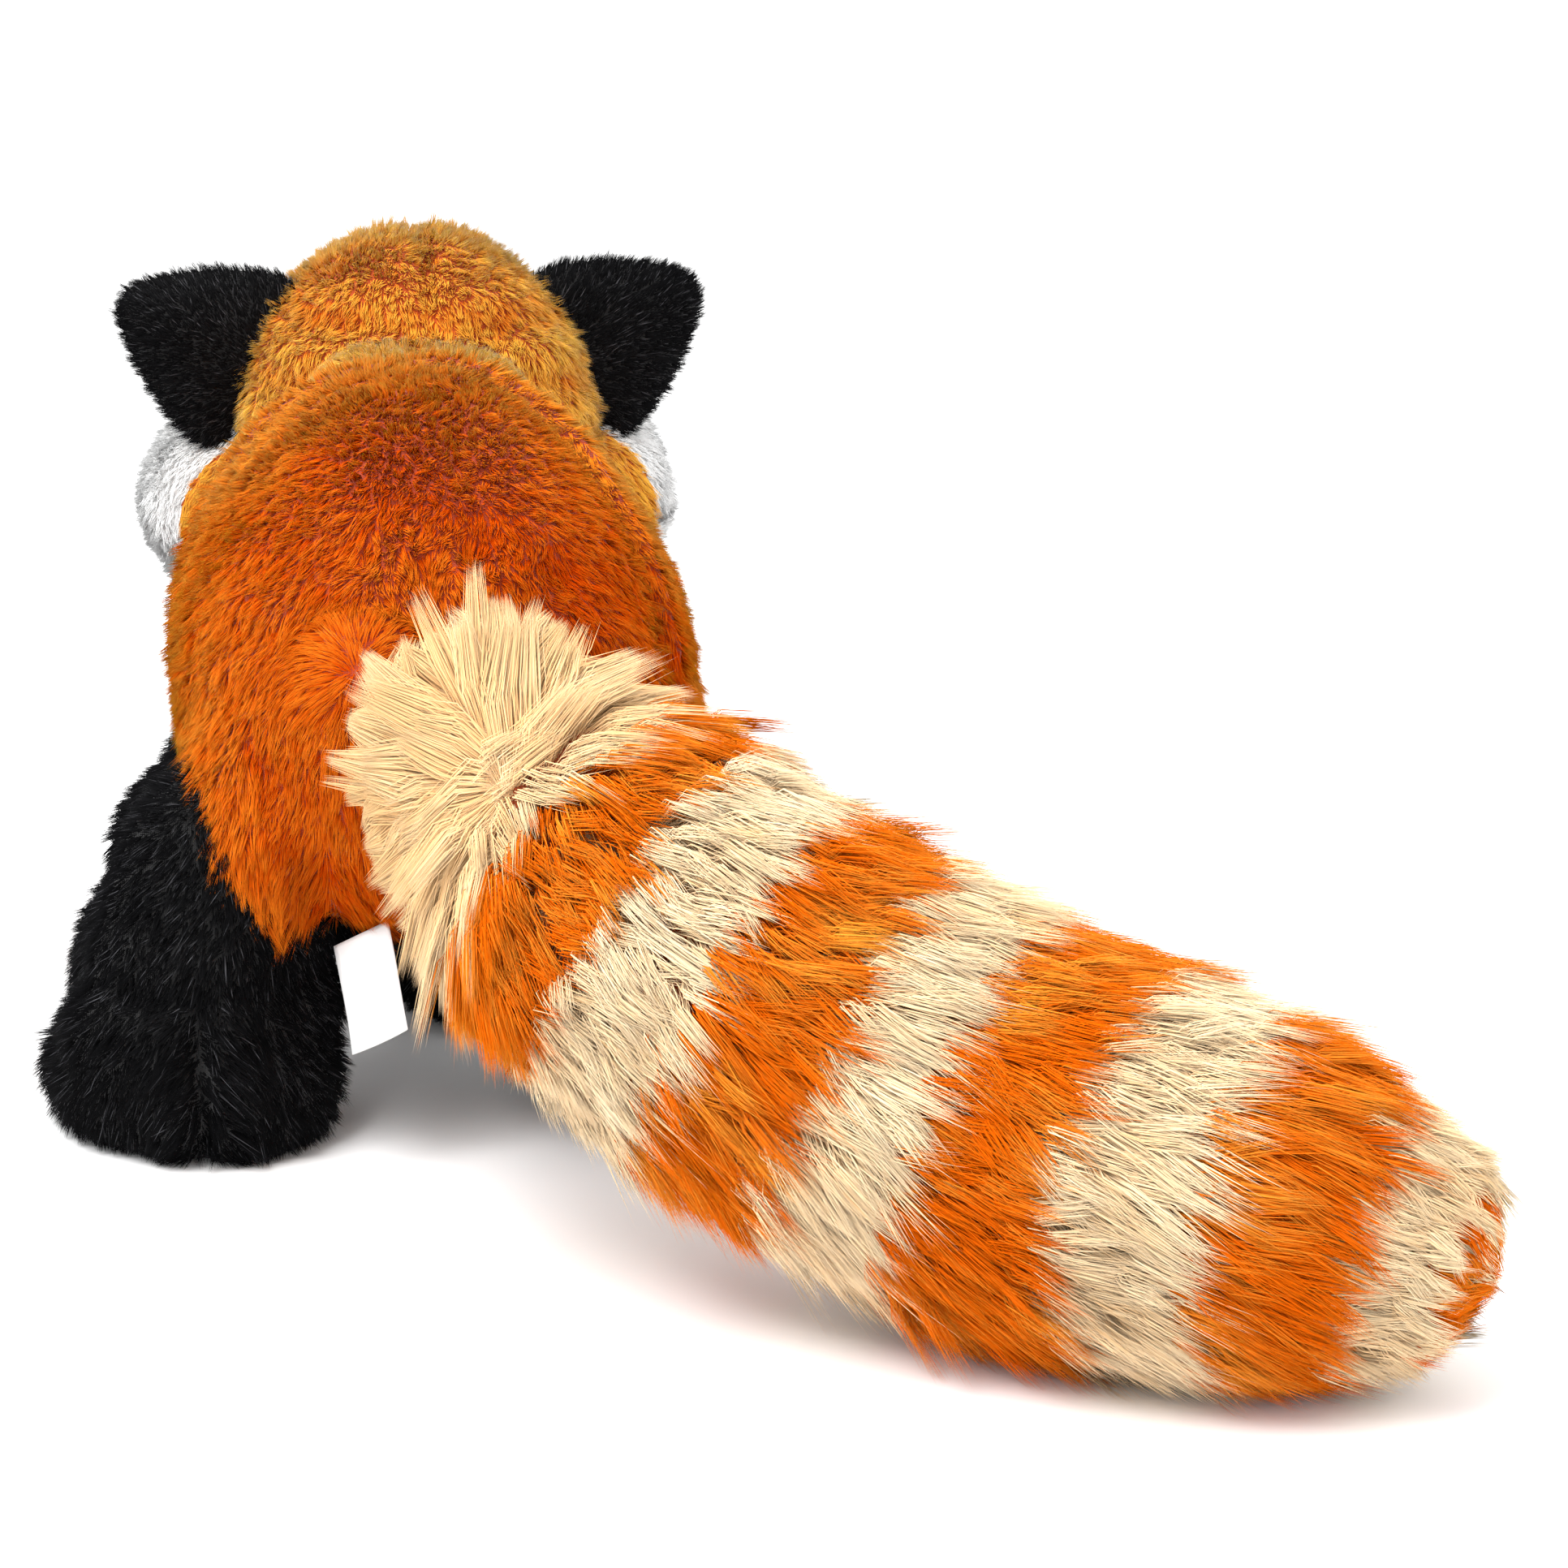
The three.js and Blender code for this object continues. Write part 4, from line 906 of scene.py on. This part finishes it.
class PLUSH_OT_torso(bpy.types.Operator):
    """Back and belly panels over their stuffing"""

    bl_idname = "plush.torso"
    bl_label = "Torso"
    LUMPS = ((0.8, 30, 3), (0.4, 9, 4))
    TONES = ((0.16, 34, 5), (0.1, 11, 6))
    DIMPLE_DEPTH, SPINE_DEPTH, RIGHT_DEPTH, FILL_DEPTH = 3.5, 0.8, 4.5, 10
    FOLD_DEPTH, ROLL_HEIGHT, CREASE_DEPTH = 6, 2.5, 1.3
    SPINE_RISE, FOLD_RISE, RIGHT_OUT, COLLAR_RISE = (100, 150), (90, 125), (20, 60), (130, 165)
    HEM_HEIGHT, HEM_REACH, SEAM_WAVER, HIDDEN = 14, 2, 1.2, -12
    TONE, COLLAR_TONE, HEM_TONE = 0.2, 0.8, 0.25
    STRETCHES = (("shoulder", -200, -20), ("loin", -20, 35), ("rump", 35, 200))

    def execute(self, context):
        pile = group_of("pile")
        tall = pile.body_pile / MM
        rng = np.random.default_rng(11)
        outer = torso_form()
        skin = outer.inset(tall + self.dips(outer.points))
        middle = skin.centres()[:, 2]
        backing("torso_backing", skin, "torso", ("rust", "black"), middle < BACK_SEAM)
        stuffing("torso_fill", skin.inset(self.FILL_DEPTH), "torso", "body_stuffing")
        sewn = others_of_torso()
        density = pile.body_density * np.where(middle < BACK_SEAM - 6, 0.5, 1.0)
        roots, normals = skin.scatter(rng, density, lambda spots: inside(spots, sewn, self.HIDDEN))
        count, (x, y, z) = len(roots), roots.T
        flow = self.flow(roots, normals)
        hem = step(z, BACK_SEAM + self.HEM_HEIGHT, BACK_SEAM) * (z > BACK_SEAM - 4)
        hem = np.maximum(hem, 0.8 * inside(roots, sewn, 5))
        height = tall * varied(rng, count, HEIGHT_SPREAD)
        reach = BODY_REACH * varied(rng, count, REACH_SPREAD) + self.HEM_REACH * hem
        coat = Coat(rng, roots, normals, flow, height, reach)
        low = z + rng.normal(0, self.SEAM_WAVER, count) < BACK_SEAM
        # Painted sheen: the tufts along the neck's crest are painted lighter where the nap catches the
        # light.
        collar = step(neck_fold(roots), 45 - 25 * step(-x, 0, 30), -6) * step(z, *self.COLLAR_RISE)
        shade = self.TONE + lumps(roots, self.TONES) + self.COLLAR_TONE * collar + self.HEM_TONE * hem
        shade = shade + coat.mottle(rng, 0.1, 0.06)
        width = body_width() * varied(rng, count, WIDTH_SPREAD)
        for side, sign in SIDES:
            for part, start, end in self.STRETCHES:
                pick = ~low & (y >= start) & (y < end) & (x * sign > 0)
                name = f"back_{side}_{part}_pile"
                coat.piece(name, pick, width, shade, "rust", "torso", f"back_panel_{side}")
        coat.piece("belly_pile", low, width, black_shade(rng, roots, coat), "black", "torso", "belly_panel")
        return {"FINISHED"}

    def dips(self, points):
        """How deep the cloth lies under its form: lumps, dimples, the spine's seam and the neck's folds."""
        x, _, z = points.T
        fold = neck_fold(points)
        folds = self.FOLD_DEPTH * ridge(fold, 5) - self.ROLL_HEIGHT * ridge(fold + 12, 6)
        folds = folds + self.CREASE_DEPTH * np.sin(fold * 0.6) * step(np.abs(fold - 4), 30, 10)
        spine = ridge(x, 4) * step(z, *self.SPINE_RISE)
        return (lumps(points, self.LUMPS) + self.DIMPLE_DEPTH * self.near_dimples(points, 7).sum(0)
                + self.SPINE_DEPTH * spine + folds * step(z, *self.FOLD_RISE)
                + self.RIGHT_DEPTH * step(-x, *self.RIGHT_OUT))

    @staticmethod
    def flow(roots, normals):
        """Pile runs from the neck over the back, then down the flanks and rump."""
        lean = np.stack([0.3 * roots[:, 0] / BODY_HALF[0], np.full(len(roots), 1.0),
                         -0.5 - 0.5 * step(roots[:, 1], 0, 80)], -1)
        lean[:, 0] += 0.35 * wander(roots, 26, 21)
        lean[:, 2] += 0.25 * wander(roots, 22, 22)
        lean = unit(lean)
        away = roots - WHORL
        near = ridge(np.linalg.norm(away, axis=1), 20)[:, None]
        lean = lean * (1 - near) + unit(away) * near
        for spot, near in zip(DIMPLES, PLUSH_OT_torso.near_dimples(roots, 9)):
            lean += unit(roots - spot) * near[:, None] * 1.5
        return along_surface(lean, normals)

    @staticmethod
    def near_dimples(points, wide):
        """How near the points are to each dimple, from 1 at its middle."""
        return np.array([ridge(np.linalg.norm(points - spot, axis=1), wide) for spot in DIMPLES])


def black_shade(rng, roots, coat):
    """Dark tufts, with a few bright ones as painted glints where the light would catch a fibre."""
    shade = 0.02 + 0.01 * wander(roots, 18, 53) + coat.mottle(rng, 0.01, 0.01)
    # Painted glints: a few tufts are drawn bright.
    return np.where(rng.random(len(roots)) < BRIGHT_SHARE, rng.uniform(0.2, 0.9, len(roots)), shade)


class PLUSH_OT_legs(bpy.types.Operator):
    """Four black legs with flat soles"""

    bl_idname = "plush.legs"
    bl_label = "Legs"
    SOLE, SOLE_TOP, FILL_DEPTH, FILL_FLOOR = 1.2, 1.6, 8, 9
    HEEL_DEPTH, ANKLE_DEPTH, SLIM_DEPTH = 3, 2.5, 9
    ANKLE, HEEL_BACK, HEEL_TOP = 44, (12, 26), (46, 30)
    FRONT_TOP, FRONT_OUT, HIND_TOP = (58, 80), (50, 62), (80, 102)
    HEEL_REACH, HEEL_PARTING = 3, 1.6

    def execute(self, context):
        pile = group_of("pile")
        tall = pile.body_pile / MM
        for number, name in enumerate(LEGS):
            rng = np.random.default_rng(31 + number)
            centre, shapes = leg_blobs(name)
            outer = joined(centre, shapes, 84, 96, 10)
            skin = outer.inset(tall + self.dips(outer.points, name, number)).above(self.SOLE)
            body = f"{name}_leg"
            backing(f"{body}_backing", skin, body, ("black",))
            core = skin.inset(self.FILL_DEPTH).above(self.FILL_FLOOR)
            stuffing(f"{body}_fill", core, body, f"{body}_stuffing")
            sole = skin.centres()[:, 2] < self.SOLE_TOP
            density = pile.body_density * np.where(sole, 0.3, 0.75)
            roots, normals = skin.scatter(rng, density, lambda spots: in_torso(spots, -tall - SEWN_IN))
            count = len(roots)
            under = (roots[:, 2] < self.SOLE_TOP) & (normals[:, 2] < -0.5)
            lean = normals * (0.25, 0.25, 0) + (0, -0.2, -1)
            for axis in (0, 1):
                lean[:, axis] += 0.4 * wander(roots, 20, 51 + axis)
            groove, off = self.heel(roots, name, 9)
            lean += off * groove[:, None] * self.HEEL_PARTING
            height = np.where(under, 1.0, tall * varied(rng, count, HEIGHT_SPREAD))
            reach = BODY_REACH * varied(rng, count, REACH_SPREAD) + self.HEEL_REACH * groove
            coat = Coat(rng, roots, normals, along_surface(lean, normals), height, reach, stray=0.2)
            shade = black_shade(rng, roots, coat)
            width = body_width() * varied(rng, count, WIDTH_SPREAD)
            every = np.ones(count, bool)
            coat.piece(f"{body}_pile", every, width, shade, "black", body, f"{body}_cover")
        return {"FINISHED"}

    def dips(self, points, name, number):
        """How deep the cloth lies under its form: lumps, the heel's seam, the ankle and a slimmer top."""
        x, _, z = points.T
        slim = 0.8 * step(z, *self.HIND_TOP)
        if name.startswith("front"):
            slim = step(z, *self.FRONT_TOP) * step(np.abs(x), *self.FRONT_OUT)
        return (lumps(points, ((0.8, 24, 33 + number), (0.6, 10, 37 + number))) + self.SLIM_DEPTH * slim
                + self.HEEL_DEPTH * self.heel(points, name)[0] + self.ANKLE_DEPTH * ridge(z - self.ANKLE, 5))

    def heel(self, points, name, wide=3.0):
        """How near points are to the seam down the back of a foot, and the way off to its nearer side."""
        off = points - LEGS[name]["foot"]
        near = ridge(off[:, 0], wide) * step(off[:, 1], *self.HEEL_BACK) * step(points[:, 2], *self.HEEL_TOP)
        return near, np.sign(off[:, :1]) * (1, 0, 0)


PALE_PANELS = ("cheek_left", "cheek_right", "muzzle", "brow_left", "brow_right")
HEAD_PANELS = {"head_back_left": "amber", "head_back_right": "amber", "forehead": "amber", "chin": "black",
               **dict.fromkeys(PALE_PANELS, "white")}


class PLUSH_OT_head(bpy.types.Operator):
    """Head panels: crown, forehead, cheeks, muzzle, chin and brow spots"""

    bl_idname = "plush.head"
    bl_label = "Head"
    LUMPS = ((0.7, 26, 63), (0.4, 9, 64))
    TONES = ((0.16, 30, 65), (0.1, 10, 66))
    CROWN_DEPTH, ROLL_DEPTH, JOWL_DEPTH = 2, 1.1, 4
    CROWN_RISE, JOWL_OUT, JOWL_DROP = (20, 50), (40, 56), (-20, -42)
    CHEEK_OUT, CHEEK_BACK, CHEEK_TOP = 48, 6, 16
    TONE, ROLL_TONE = 0.8, 0.2
    MUZZLE_PILE, PALE_PILE = 0.55, 0.75
    FILL_SHARE = 0.85

    def execute(self, context):
        pile = group_of("pile")
        tall = pile.body_pile / MM
        rng = np.random.default_rng(61)
        outer = joined(HEAD, head_blobs(), 120, 140, 9)
        muzzle = inside(outer.points, [blob(MUZZLE, MUZZLE_HALF)], 3)
        skin = outer.inset(np.where(muzzle, tall * self.MUZZLE_PILE, tall) + self.dips(outer.points))
        zone = self.zones(skin.centres())
        which = np.where(zone == "chin", 2, np.isin(zone, PALE_PANELS))
        backing("head_backing", skin, "head", ("amber", "white", "black"), which)
        core = Form(HEAD + self.FILL_SHARE * (skin.points - HEAD), skin.tris)
        stuffing("head_fill", core, "head", "head_stuffing")
        roots, normals = skin.scatter(rng, pile.body_density, lambda spots: in_torso(spots, -tall - SEWN_IN))
        count, zone = len(roots), self.zones(roots)
        scale = np.where(np.isin(zone, PALE_PANELS), self.PALE_PILE, 1.0)
        scale = np.where(zone == "muzzle", self.MUZZLE_PILE, scale)
        height = tall * scale * varied(rng, count, HEIGHT_SPREAD)
        reach = BODY_REACH * scale * varied(rng, count, REACH_SPREAD)
        coat = Coat(rng, roots, normals, self.flow(roots, normals), height, reach)
        # Painted shade and highlight: the tufts are lighter on each roll and darker in the creases between
        # rolls.
        shade = self.TONE - self.ROLL_TONE * self.rolls(roots) + lumps(roots, self.TONES)
        shade = shade + coat.mottle(rng, 0.1, 0.1)
        width = body_width() * varied(rng, count, WIDTH_SPREAD) * (0.6 + 0.4 * scale)
        shade = np.where(zone == "chin", black_shade(rng, roots, coat), shade)
        for name, colour in HEAD_PANELS.items():
            node = name + "_panel" if name in ("forehead", "chin", "muzzle") else name
            coat.piece(f"{name}_pile", zone == name, width, shade, colour, "head", node)
        return {"FINISHED"}

    def dips(self, points):
        """How deep the cloth lies under its form: lumps, the crown's seam, the rolls and the jowls."""
        x, _, z = (points - HEAD).T
        crown = ridge(x, 4) * step(z, *self.CROWN_RISE)
        jowl = step(np.abs(x), *self.JOWL_OUT) * step(z, *self.JOWL_DROP)
        return (lumps(points, self.LUMPS) + self.CROWN_DEPTH * crown + self.ROLL_DEPTH * self.rolls(points)
                + self.JOWL_DEPTH * jowl)

    @staticmethod
    def rolls(points):
        """The soft rolls across the back of the head, from -1 on a roll to 1 between two."""
        _, y, z = (points - HEAD).T
        waves = np.sin(z * 0.34 + 0.8 * wander(points, 60, 67))
        return waves * step(y, 0, 30) * step(np.abs(z - 18), 34, 20)

    def zones(self, roots):
        """The panel that each root belongs to."""
        x, y, z = (roots - HEAD).T
        front = roots[:, 1] < FACE_SEAM
        out, high, wide = BROW
        brow = [(np.hypot(x - sign * out, roots[:, 2] - high) < wide) & front for _, sign in SIDES]
        side = (y < self.CHEEK_BACK) & (z < self.CHEEK_TOP)
        cheek = [(x * sign > self.CHEEK_OUT) & side for _, sign in SIDES]
        muzzle = inside(roots, [blob(MUZZLE, MUZZLE_HALF)], 2)
        return np.select(
            [*brow, muzzle, *cheek, ~front & (x > 0), ~front & (x <= 0), roots[:, 2] > JAW],
            ["brow_left", "brow_right", "muzzle", "cheek_left", "cheek_right",
             "head_back_left", "head_back_right", "forehead"], "chin")

    @staticmethod
    def flow(roots, normals):
        """Pile runs from the nose over the face and crown to the neck, and out along the cheeks."""
        nose = MUZZLE + (0, -MUZZLE_HALF[1], MUZZLE_HALF[2] * 0.4)
        face = unit(roots - nose)
        nape = unit(np.stack([0.25 * (roots[:, 0] - HEAD[0]) / 60, np.full(len(roots), 1.0),
                              np.full(len(roots), -0.5)], -1))
        behind = step(roots[:, 1], FACE_SEAM - 20, FACE_SEAM + 20)[:, None]
        lean = face * (1 - behind) + nape * behind
        lean += 0.3 * (np.stack([wander(roots, 24, seed) for seed in (71, 72, 73)], -1) - (0, 0, 0.4))
        return along_surface(lean, normals)


class PLUSH_OT_ears(bpy.types.Operator):
    """Black ears with white linings"""

    bl_idname = "plush.ears"
    bl_label = "Ears"
    REACH, FAN, HEIGHT_SPREAD, FINER, LINING_LIFT = 2.4, 24, 0.18, 0.9, 0.5

    def execute(self, context):
        pile = group_of("pile")
        tall = pile.ear_pile / MM
        for side, sign in SIDES:
            rng = np.random.default_rng(81 + sign)
            skin = ear_form(sign, tall)
            body = f"ear_{side}"
            front = skin.normals[skin.tris].mean(1)[:, 1] < 0
            backing(f"{body}_backing", skin, body, ("black", "white"), front)
            roots, normals = skin.scatter(rng, pile.body_density * 1.3)
            count = len(roots)
            along, out, root = ear_frame(sign)
            lean = out + along * ((roots - root) @ along / self.FAN)[:, None]
            lean = lean + rng.normal(0, 0.12, lean.shape)
            back = normals[:, 1] > 0.05 * wander(roots, 9, 83)
            height = tall * varied(rng, count, self.HEIGHT_SPREAD)
            reach = self.REACH * varied(rng, count, REACH_SPREAD)
            coat = Coat(rng, roots, normals, along_surface(lean, normals), height, reach)
            shade = black_shade(rng, roots, coat)
            width = body_width() * self.FINER * varied(rng, count, WIDTH_SPREAD)
            layers = ("back", back, "black", 0), ("lining", ~back, "white", self.LINING_LIFT)
            for layer, pick, colour, lift in layers:
                node = f"ear_{layer}_{side}"
                coat.piece(f"{node}_pile", pick, width, shade + lift, colour, body, node)
        return {"FINISHED"}


class PLUSH_OT_tail(bpy.types.Operator):
    """Ten long-pile bands round the tail's stuffing"""

    bl_idname = "plush.tail"
    bl_label = "Tail"
    CLOTH_SHARES = (0.72, 0.84)
    FILL_SHARES = (0.62, 0.74)
    TAPER = (0.85, 0.95)
    ROOT_FADE, HIDDEN = (0.26, 0.06), -10
    HEIGHT_SPREAD, REACH_SPREAD = 0.15, 0.14
    LOCK, ROOT_LOCK, CLUMP, ROOT_CLUMP = 26, 60, 0.28, 0.42
    BAND_SHIFT, BAND_LEAN, BAND_WAVER = 0.02, 0.12, 0.007
    AMBER_TONE, CREAM_TONE, ROOT_DARKER = 0.08, 0.6, 0.55

    def execute(self, context):
        pile = group_of("pile")
        rng = np.random.default_rng(101)
        line = TailLine()
        skin = line.form(*self.CLOTH_SHARES)
        which = self.bands(line.place(skin.centres())) % 2
        backing("tail_backing", skin, "tail", ("cream", "amber"), which)
        stuffing("tail_fill", line.form(*self.FILL_SHARES), "tail", "tail_stuffing")
        roots, normals = skin.scatter(rng, pile.tail_density, lambda spots: in_torso(spots, self.HIDDEN))
        count, place = len(roots), line.place(roots)
        near = step(place, *self.ROOT_FADE)
        _, along, _, _ = line.at(place)
        lean = unit(roots - ROSETTE) * near[:, None] + along * (1 - near[:, None])
        lean += 0.16 * np.stack([wander(roots, 22, seed) for seed in (103, 104, 105)], -1)
        depth = line.radius(np.clip(place, 0, 1)) * (1 - self.CLOTH_SHARES[1])
        vary = 1 + 0.1 * wander(roots, 12, 106)
        height = depth * varied(rng, count, self.HEIGHT_SPREAD) * vary
        reach = pile.tail_reach / MM * varied(rng, count, self.REACH_SPREAD) * vary
        reach *= self.shortened(roots, normals, place, near)
        coat = Coat(rng, roots, normals, along_surface(lean, normals), height, reach, steps=2,
                    lock=self.LOCK + self.ROOT_LOCK * near, clump=self.CLUMP + self.ROOT_CLUMP * near,
                    stray=0.12, droop=0.08, wave=1.8)
        slant = normals @ BAND_SLANT * step(place, 0.65, 0.2)
        over = 0.05 * ridge(place - 0.72, 0.1)
        edge = place + self.BAND_SHIFT - self.BAND_LEAN * slant - over
        band = self.bands(edge + coat.each_lock(rng, self.BAND_WAVER))
        # Painted shade: the cream is darkened towards the tail's root and rosette, where the light falls
        # strongest.
        base = np.where(band % 2 == 1, self.AMBER_TONE, self.CREAM_TONE - self.ROOT_DARKER * near)
        shade = base + 0.14 * wander(roots, 20, 107) + coat.mottle(rng, 0.1, 0.1)
        width = pile.tail_fibre / MM * varied(rng, count, WIDTH_SPREAD)
        for number in range(TAIL_BANDS):
            node, colour = f"tail_band_{number + 1}", ("cream", "amber")[number % 2]
            coat.piece(f"{node}_pile", band == number, width, shade, colour, "tail", node, self.TAPER)
        return {"FINISHED"}

    @staticmethod
    def shortened(roots, normals, place, near):
        """The share of the pile's reach: less at the tip, under the root and to the rosette's left."""
        left = step(roots[:, 0] - ROSETTE[0], 0, 30) * near
        under = step(-normals[:, 2], 0.1, 0.6) * step(place, 0.34, 0.2)
        return (1 - 0.55 * step(place, 0.82, 1) + 0.25 * near) * (1 - 0.75 * left) * (1 - 0.65 * under)

    @staticmethod
    def bands(place):
        """The number of the band at each place along the tail."""
        return np.clip(np.floor(place * (TAIL_BANDS - 1)), 0, TAIL_BANDS - 1).astype(int)


def bead_form(centre, half, flat=0.0):
    """A domed bead, drawn in a little at its lower edge by flat."""
    directions, tris = globe(28, 40)
    narrow = 1 - flat * step(-directions[:, 2], -0.6, 1)
    points = directions * half
    points[:, 0] *= narrow
    return Form(points + centre, tris)


def grid_quads(ids):
    """Four corner ids for each cell of a grid of ids."""
    return np.stack([ids[:-1, :-1], ids[:-1, 1:], ids[1:, 1:], ids[1:, :-1]], -1).reshape(-1, 4)


def box_centre(node):
    low, high = (np.array(corner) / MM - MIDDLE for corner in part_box(node))
    return (low + high) / 2, low, high


class PLUSH_OT_face(bpy.types.Operator):
    """Bead eyes, nose, washers and stitched mouth"""

    bl_idname = "plush.face"
    bl_label = "Face"
    NOSE_DEPTH = 5.4
    SMILE, SAG, RISE = 25.2, 0.52, 0.26
    TWIST, PLY_OFF, PLY_RADIUS, PLY_SIDES = 3.2, 0.42, 0.5, 8

    def execute(self, context):
        for side, _ in SIDES:
            centre, low, high = box_centre(f"eye_{side}")
            radius = (high[0] - low[0]) / 2
            spot = np.array([centre[0], low[1] + radius, centre[2]])
            made = form_piece(f"eye_{side}_bead", bead_form(spot, np.full(3, radius)), FINISHES["bead"])
            dress(made, "head", (f"eye_{side}",))
        centre, low, high = box_centre("nose")
        half = np.array([(high[0] - low[0]) / 2, self.NOSE_DEPTH, (high[2] - low[2]) / 2])
        spot = np.array([centre[0], low[1] + half[1], centre[2]])
        made = form_piece("nose_bead", bead_form(spot, half, flat=0.35), FINISHES["nose"])
        dress(made, "head", ("nose",))
        for node in ("eye_washer_left", "eye_washer_right", "nose_washer"):
            washer = frame["nodes"][node]
            washer.data.materials.clear()
            washer.data.materials.append(FINISHES["washer"])
        self.mouth()
        return {"FINISHED"}

    def mouth(self):
        """A smile of two-ply thread that lies on the muzzle."""
        x = np.linspace(-0.5, 0.5, 9) * self.SMILE
        z = -MUZZLE_HALF[2] * (self.SAG - self.RISE * (2 * x / self.SMILE) ** 2)
        y = -MUZZLE_HALF[1] * np.sqrt(1 - (x / MUZZLE_HALF[0]) ** 2 - (z / MUZZLE_HALF[2]) ** 2)
        line, length = curve_points(MUZZLE + np.stack([x, y, z], -1), 90)
        run = unit(np.gradient(line, axis=0))
        side = unit(np.cross(run, (0, 1, 0)))
        lift = np.cross(side, run)
        angle = np.linspace(0, 2 * np.pi, self.PLY_SIDES, endpoint=False)
        ring = side[:, None] * np.cos(angle)[:, None] + lift[:, None] * np.sin(angle)[:, None]
        points, faces = [], []
        for ply in range(2):
            turn = np.linspace(0, 2 * np.pi * length / self.TWIST, len(line)) + np.pi * ply
            core = line + self.PLY_OFF * (side * np.cos(turn)[:, None] + lift * np.sin(turn)[:, None])
            ids = ply * ring.size // 3 + np.arange(ring.size // 3).reshape(len(line), -1)
            points.append((core[:, None] + ring * self.PLY_RADIUS).reshape(-1, 3))
            faces += [*grid_quads(np.hstack([ids, ids[:, :1]])), ids[0], ids[-1, ::-1]]
        starts = np.cumsum([0] + [len(face) for face in faces[:-1]])
        points, loops = np.vstack(points), np.concatenate(faces)
        made = new_piece("mouth_thread", points, loops, starts, FINISHES["thread"])
        dress(made, "head", ("mouth_stitch",))


class PLUSH_OT_label(bpy.types.Operator):
    """The bare satin label under the rump"""

    bl_idname = "plush.label"
    bl_label = "Label"
    WIDTH, LENGTH, THICK = 16.5, 30.0, 0.3
    TURN, LEAN, HANG = (math.radians(angle) for angle in (-30, 28, 30))

    def execute(self, context):
        across = np.array(JOINTS["label_flap"]["axis"])
        turn = Matrix.Rotation(self.TURN, 3, "Z") @ Matrix.Rotation(self.LEAN, 3, "Y")
        down = turn @ Vector((0, 0, -1))
        down = np.array(Matrix.Rotation(self.HANG, 3, Vector(across)) @ down)
        face = np.cross(across, down)
        top = joint_spot("label_flap")
        u, v = np.meshgrid(np.linspace(-0.5, 0.5, 13), np.linspace(0, 1, 29), indexing="xy")
        curl = 1.5 * v**2 + 0.35 * np.sin(5 * v + 3 * u) * v + 0.5 * (2 * u) ** 2 * v
        sheet = (top + across * (u * self.WIDTH)[..., None] + down * (v * self.LENGTH)[..., None]
                 + face * curl[..., None])
        half = face * self.THICK / 2
        points = np.vstack([(sheet + half).reshape(-1, 3), (sheet - half).reshape(-1, 3)])
        ids = np.arange(u.size).reshape(u.shape)
        front = grid_quads(ids)
        behind = np.roll(front[:, ::-1], 1, axis=1) + ids.size
        rim = np.concatenate([ids[0, :-1], ids[:-1, -1], ids[-1, :0:-1], ids[:0:-1, 0]])
        after = np.roll(rim, -1)
        faces = np.vstack([front, behind, np.stack([rim, rim + ids.size, after + ids.size, after], -1)])
        made = new_piece("label_strip", points, faces.ravel(), np.arange(len(faces)) * 4, FINISHES["satin"])
        dress(made, "label", ("care_label",))
        return {"FINISHED"}


class PLUSH_PT_sidebar(bpy.types.Panel):
    """The toy's pieces, in sewing order"""

    bl_idname = "PLUSH_PT_sidebar"
    bl_label = "Plush red panda"
    bl_space_type = "VIEW_3D"
    bl_region_type = "UI"
    bl_category = "Plush"

    def draw(self, context):
        for made in OPERATORS:
            self.layout.operator(made.bl_idname)


OPERATORS = (PLUSH_OT_stage, PLUSH_OT_torso, PLUSH_OT_legs, PLUSH_OT_head, PLUSH_OT_ears, PLUSH_OT_tail,
             PLUSH_OT_face, PLUSH_OT_label)
GROUPS = {"plush_pile": PlushPile, "plush_colours": PlushColours, "plush_stage": PlushStage}


def register():
    for made in (*GROUPS.values(), *OPERATORS, PLUSH_PT_sidebar):
        bpy.utils.register_class(made)
    for name, made in GROUPS.items():
        setattr(bpy.types.Scene, name, PointerProperty(type=made))


def unregister():
    for name in GROUPS:
        delattr(bpy.types.Scene, name)
    for made in (PLUSH_PT_sidebar, *reversed(OPERATORS), *reversed(GROUPS.values())):
        bpy.utils.unregister_class(made)


def main():
    register()
    bpy.ops.plush.stage()
    bpy.ops.plush.torso()
    bpy.ops.plush.legs()
    bpy.ops.plush.head()
    bpy.ops.plush.ears()
    bpy.ops.plush.tail()
    bpy.ops.plush.face()
    bpy.ops.plush.label()
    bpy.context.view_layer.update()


if __name__ == "__main__":
    main()
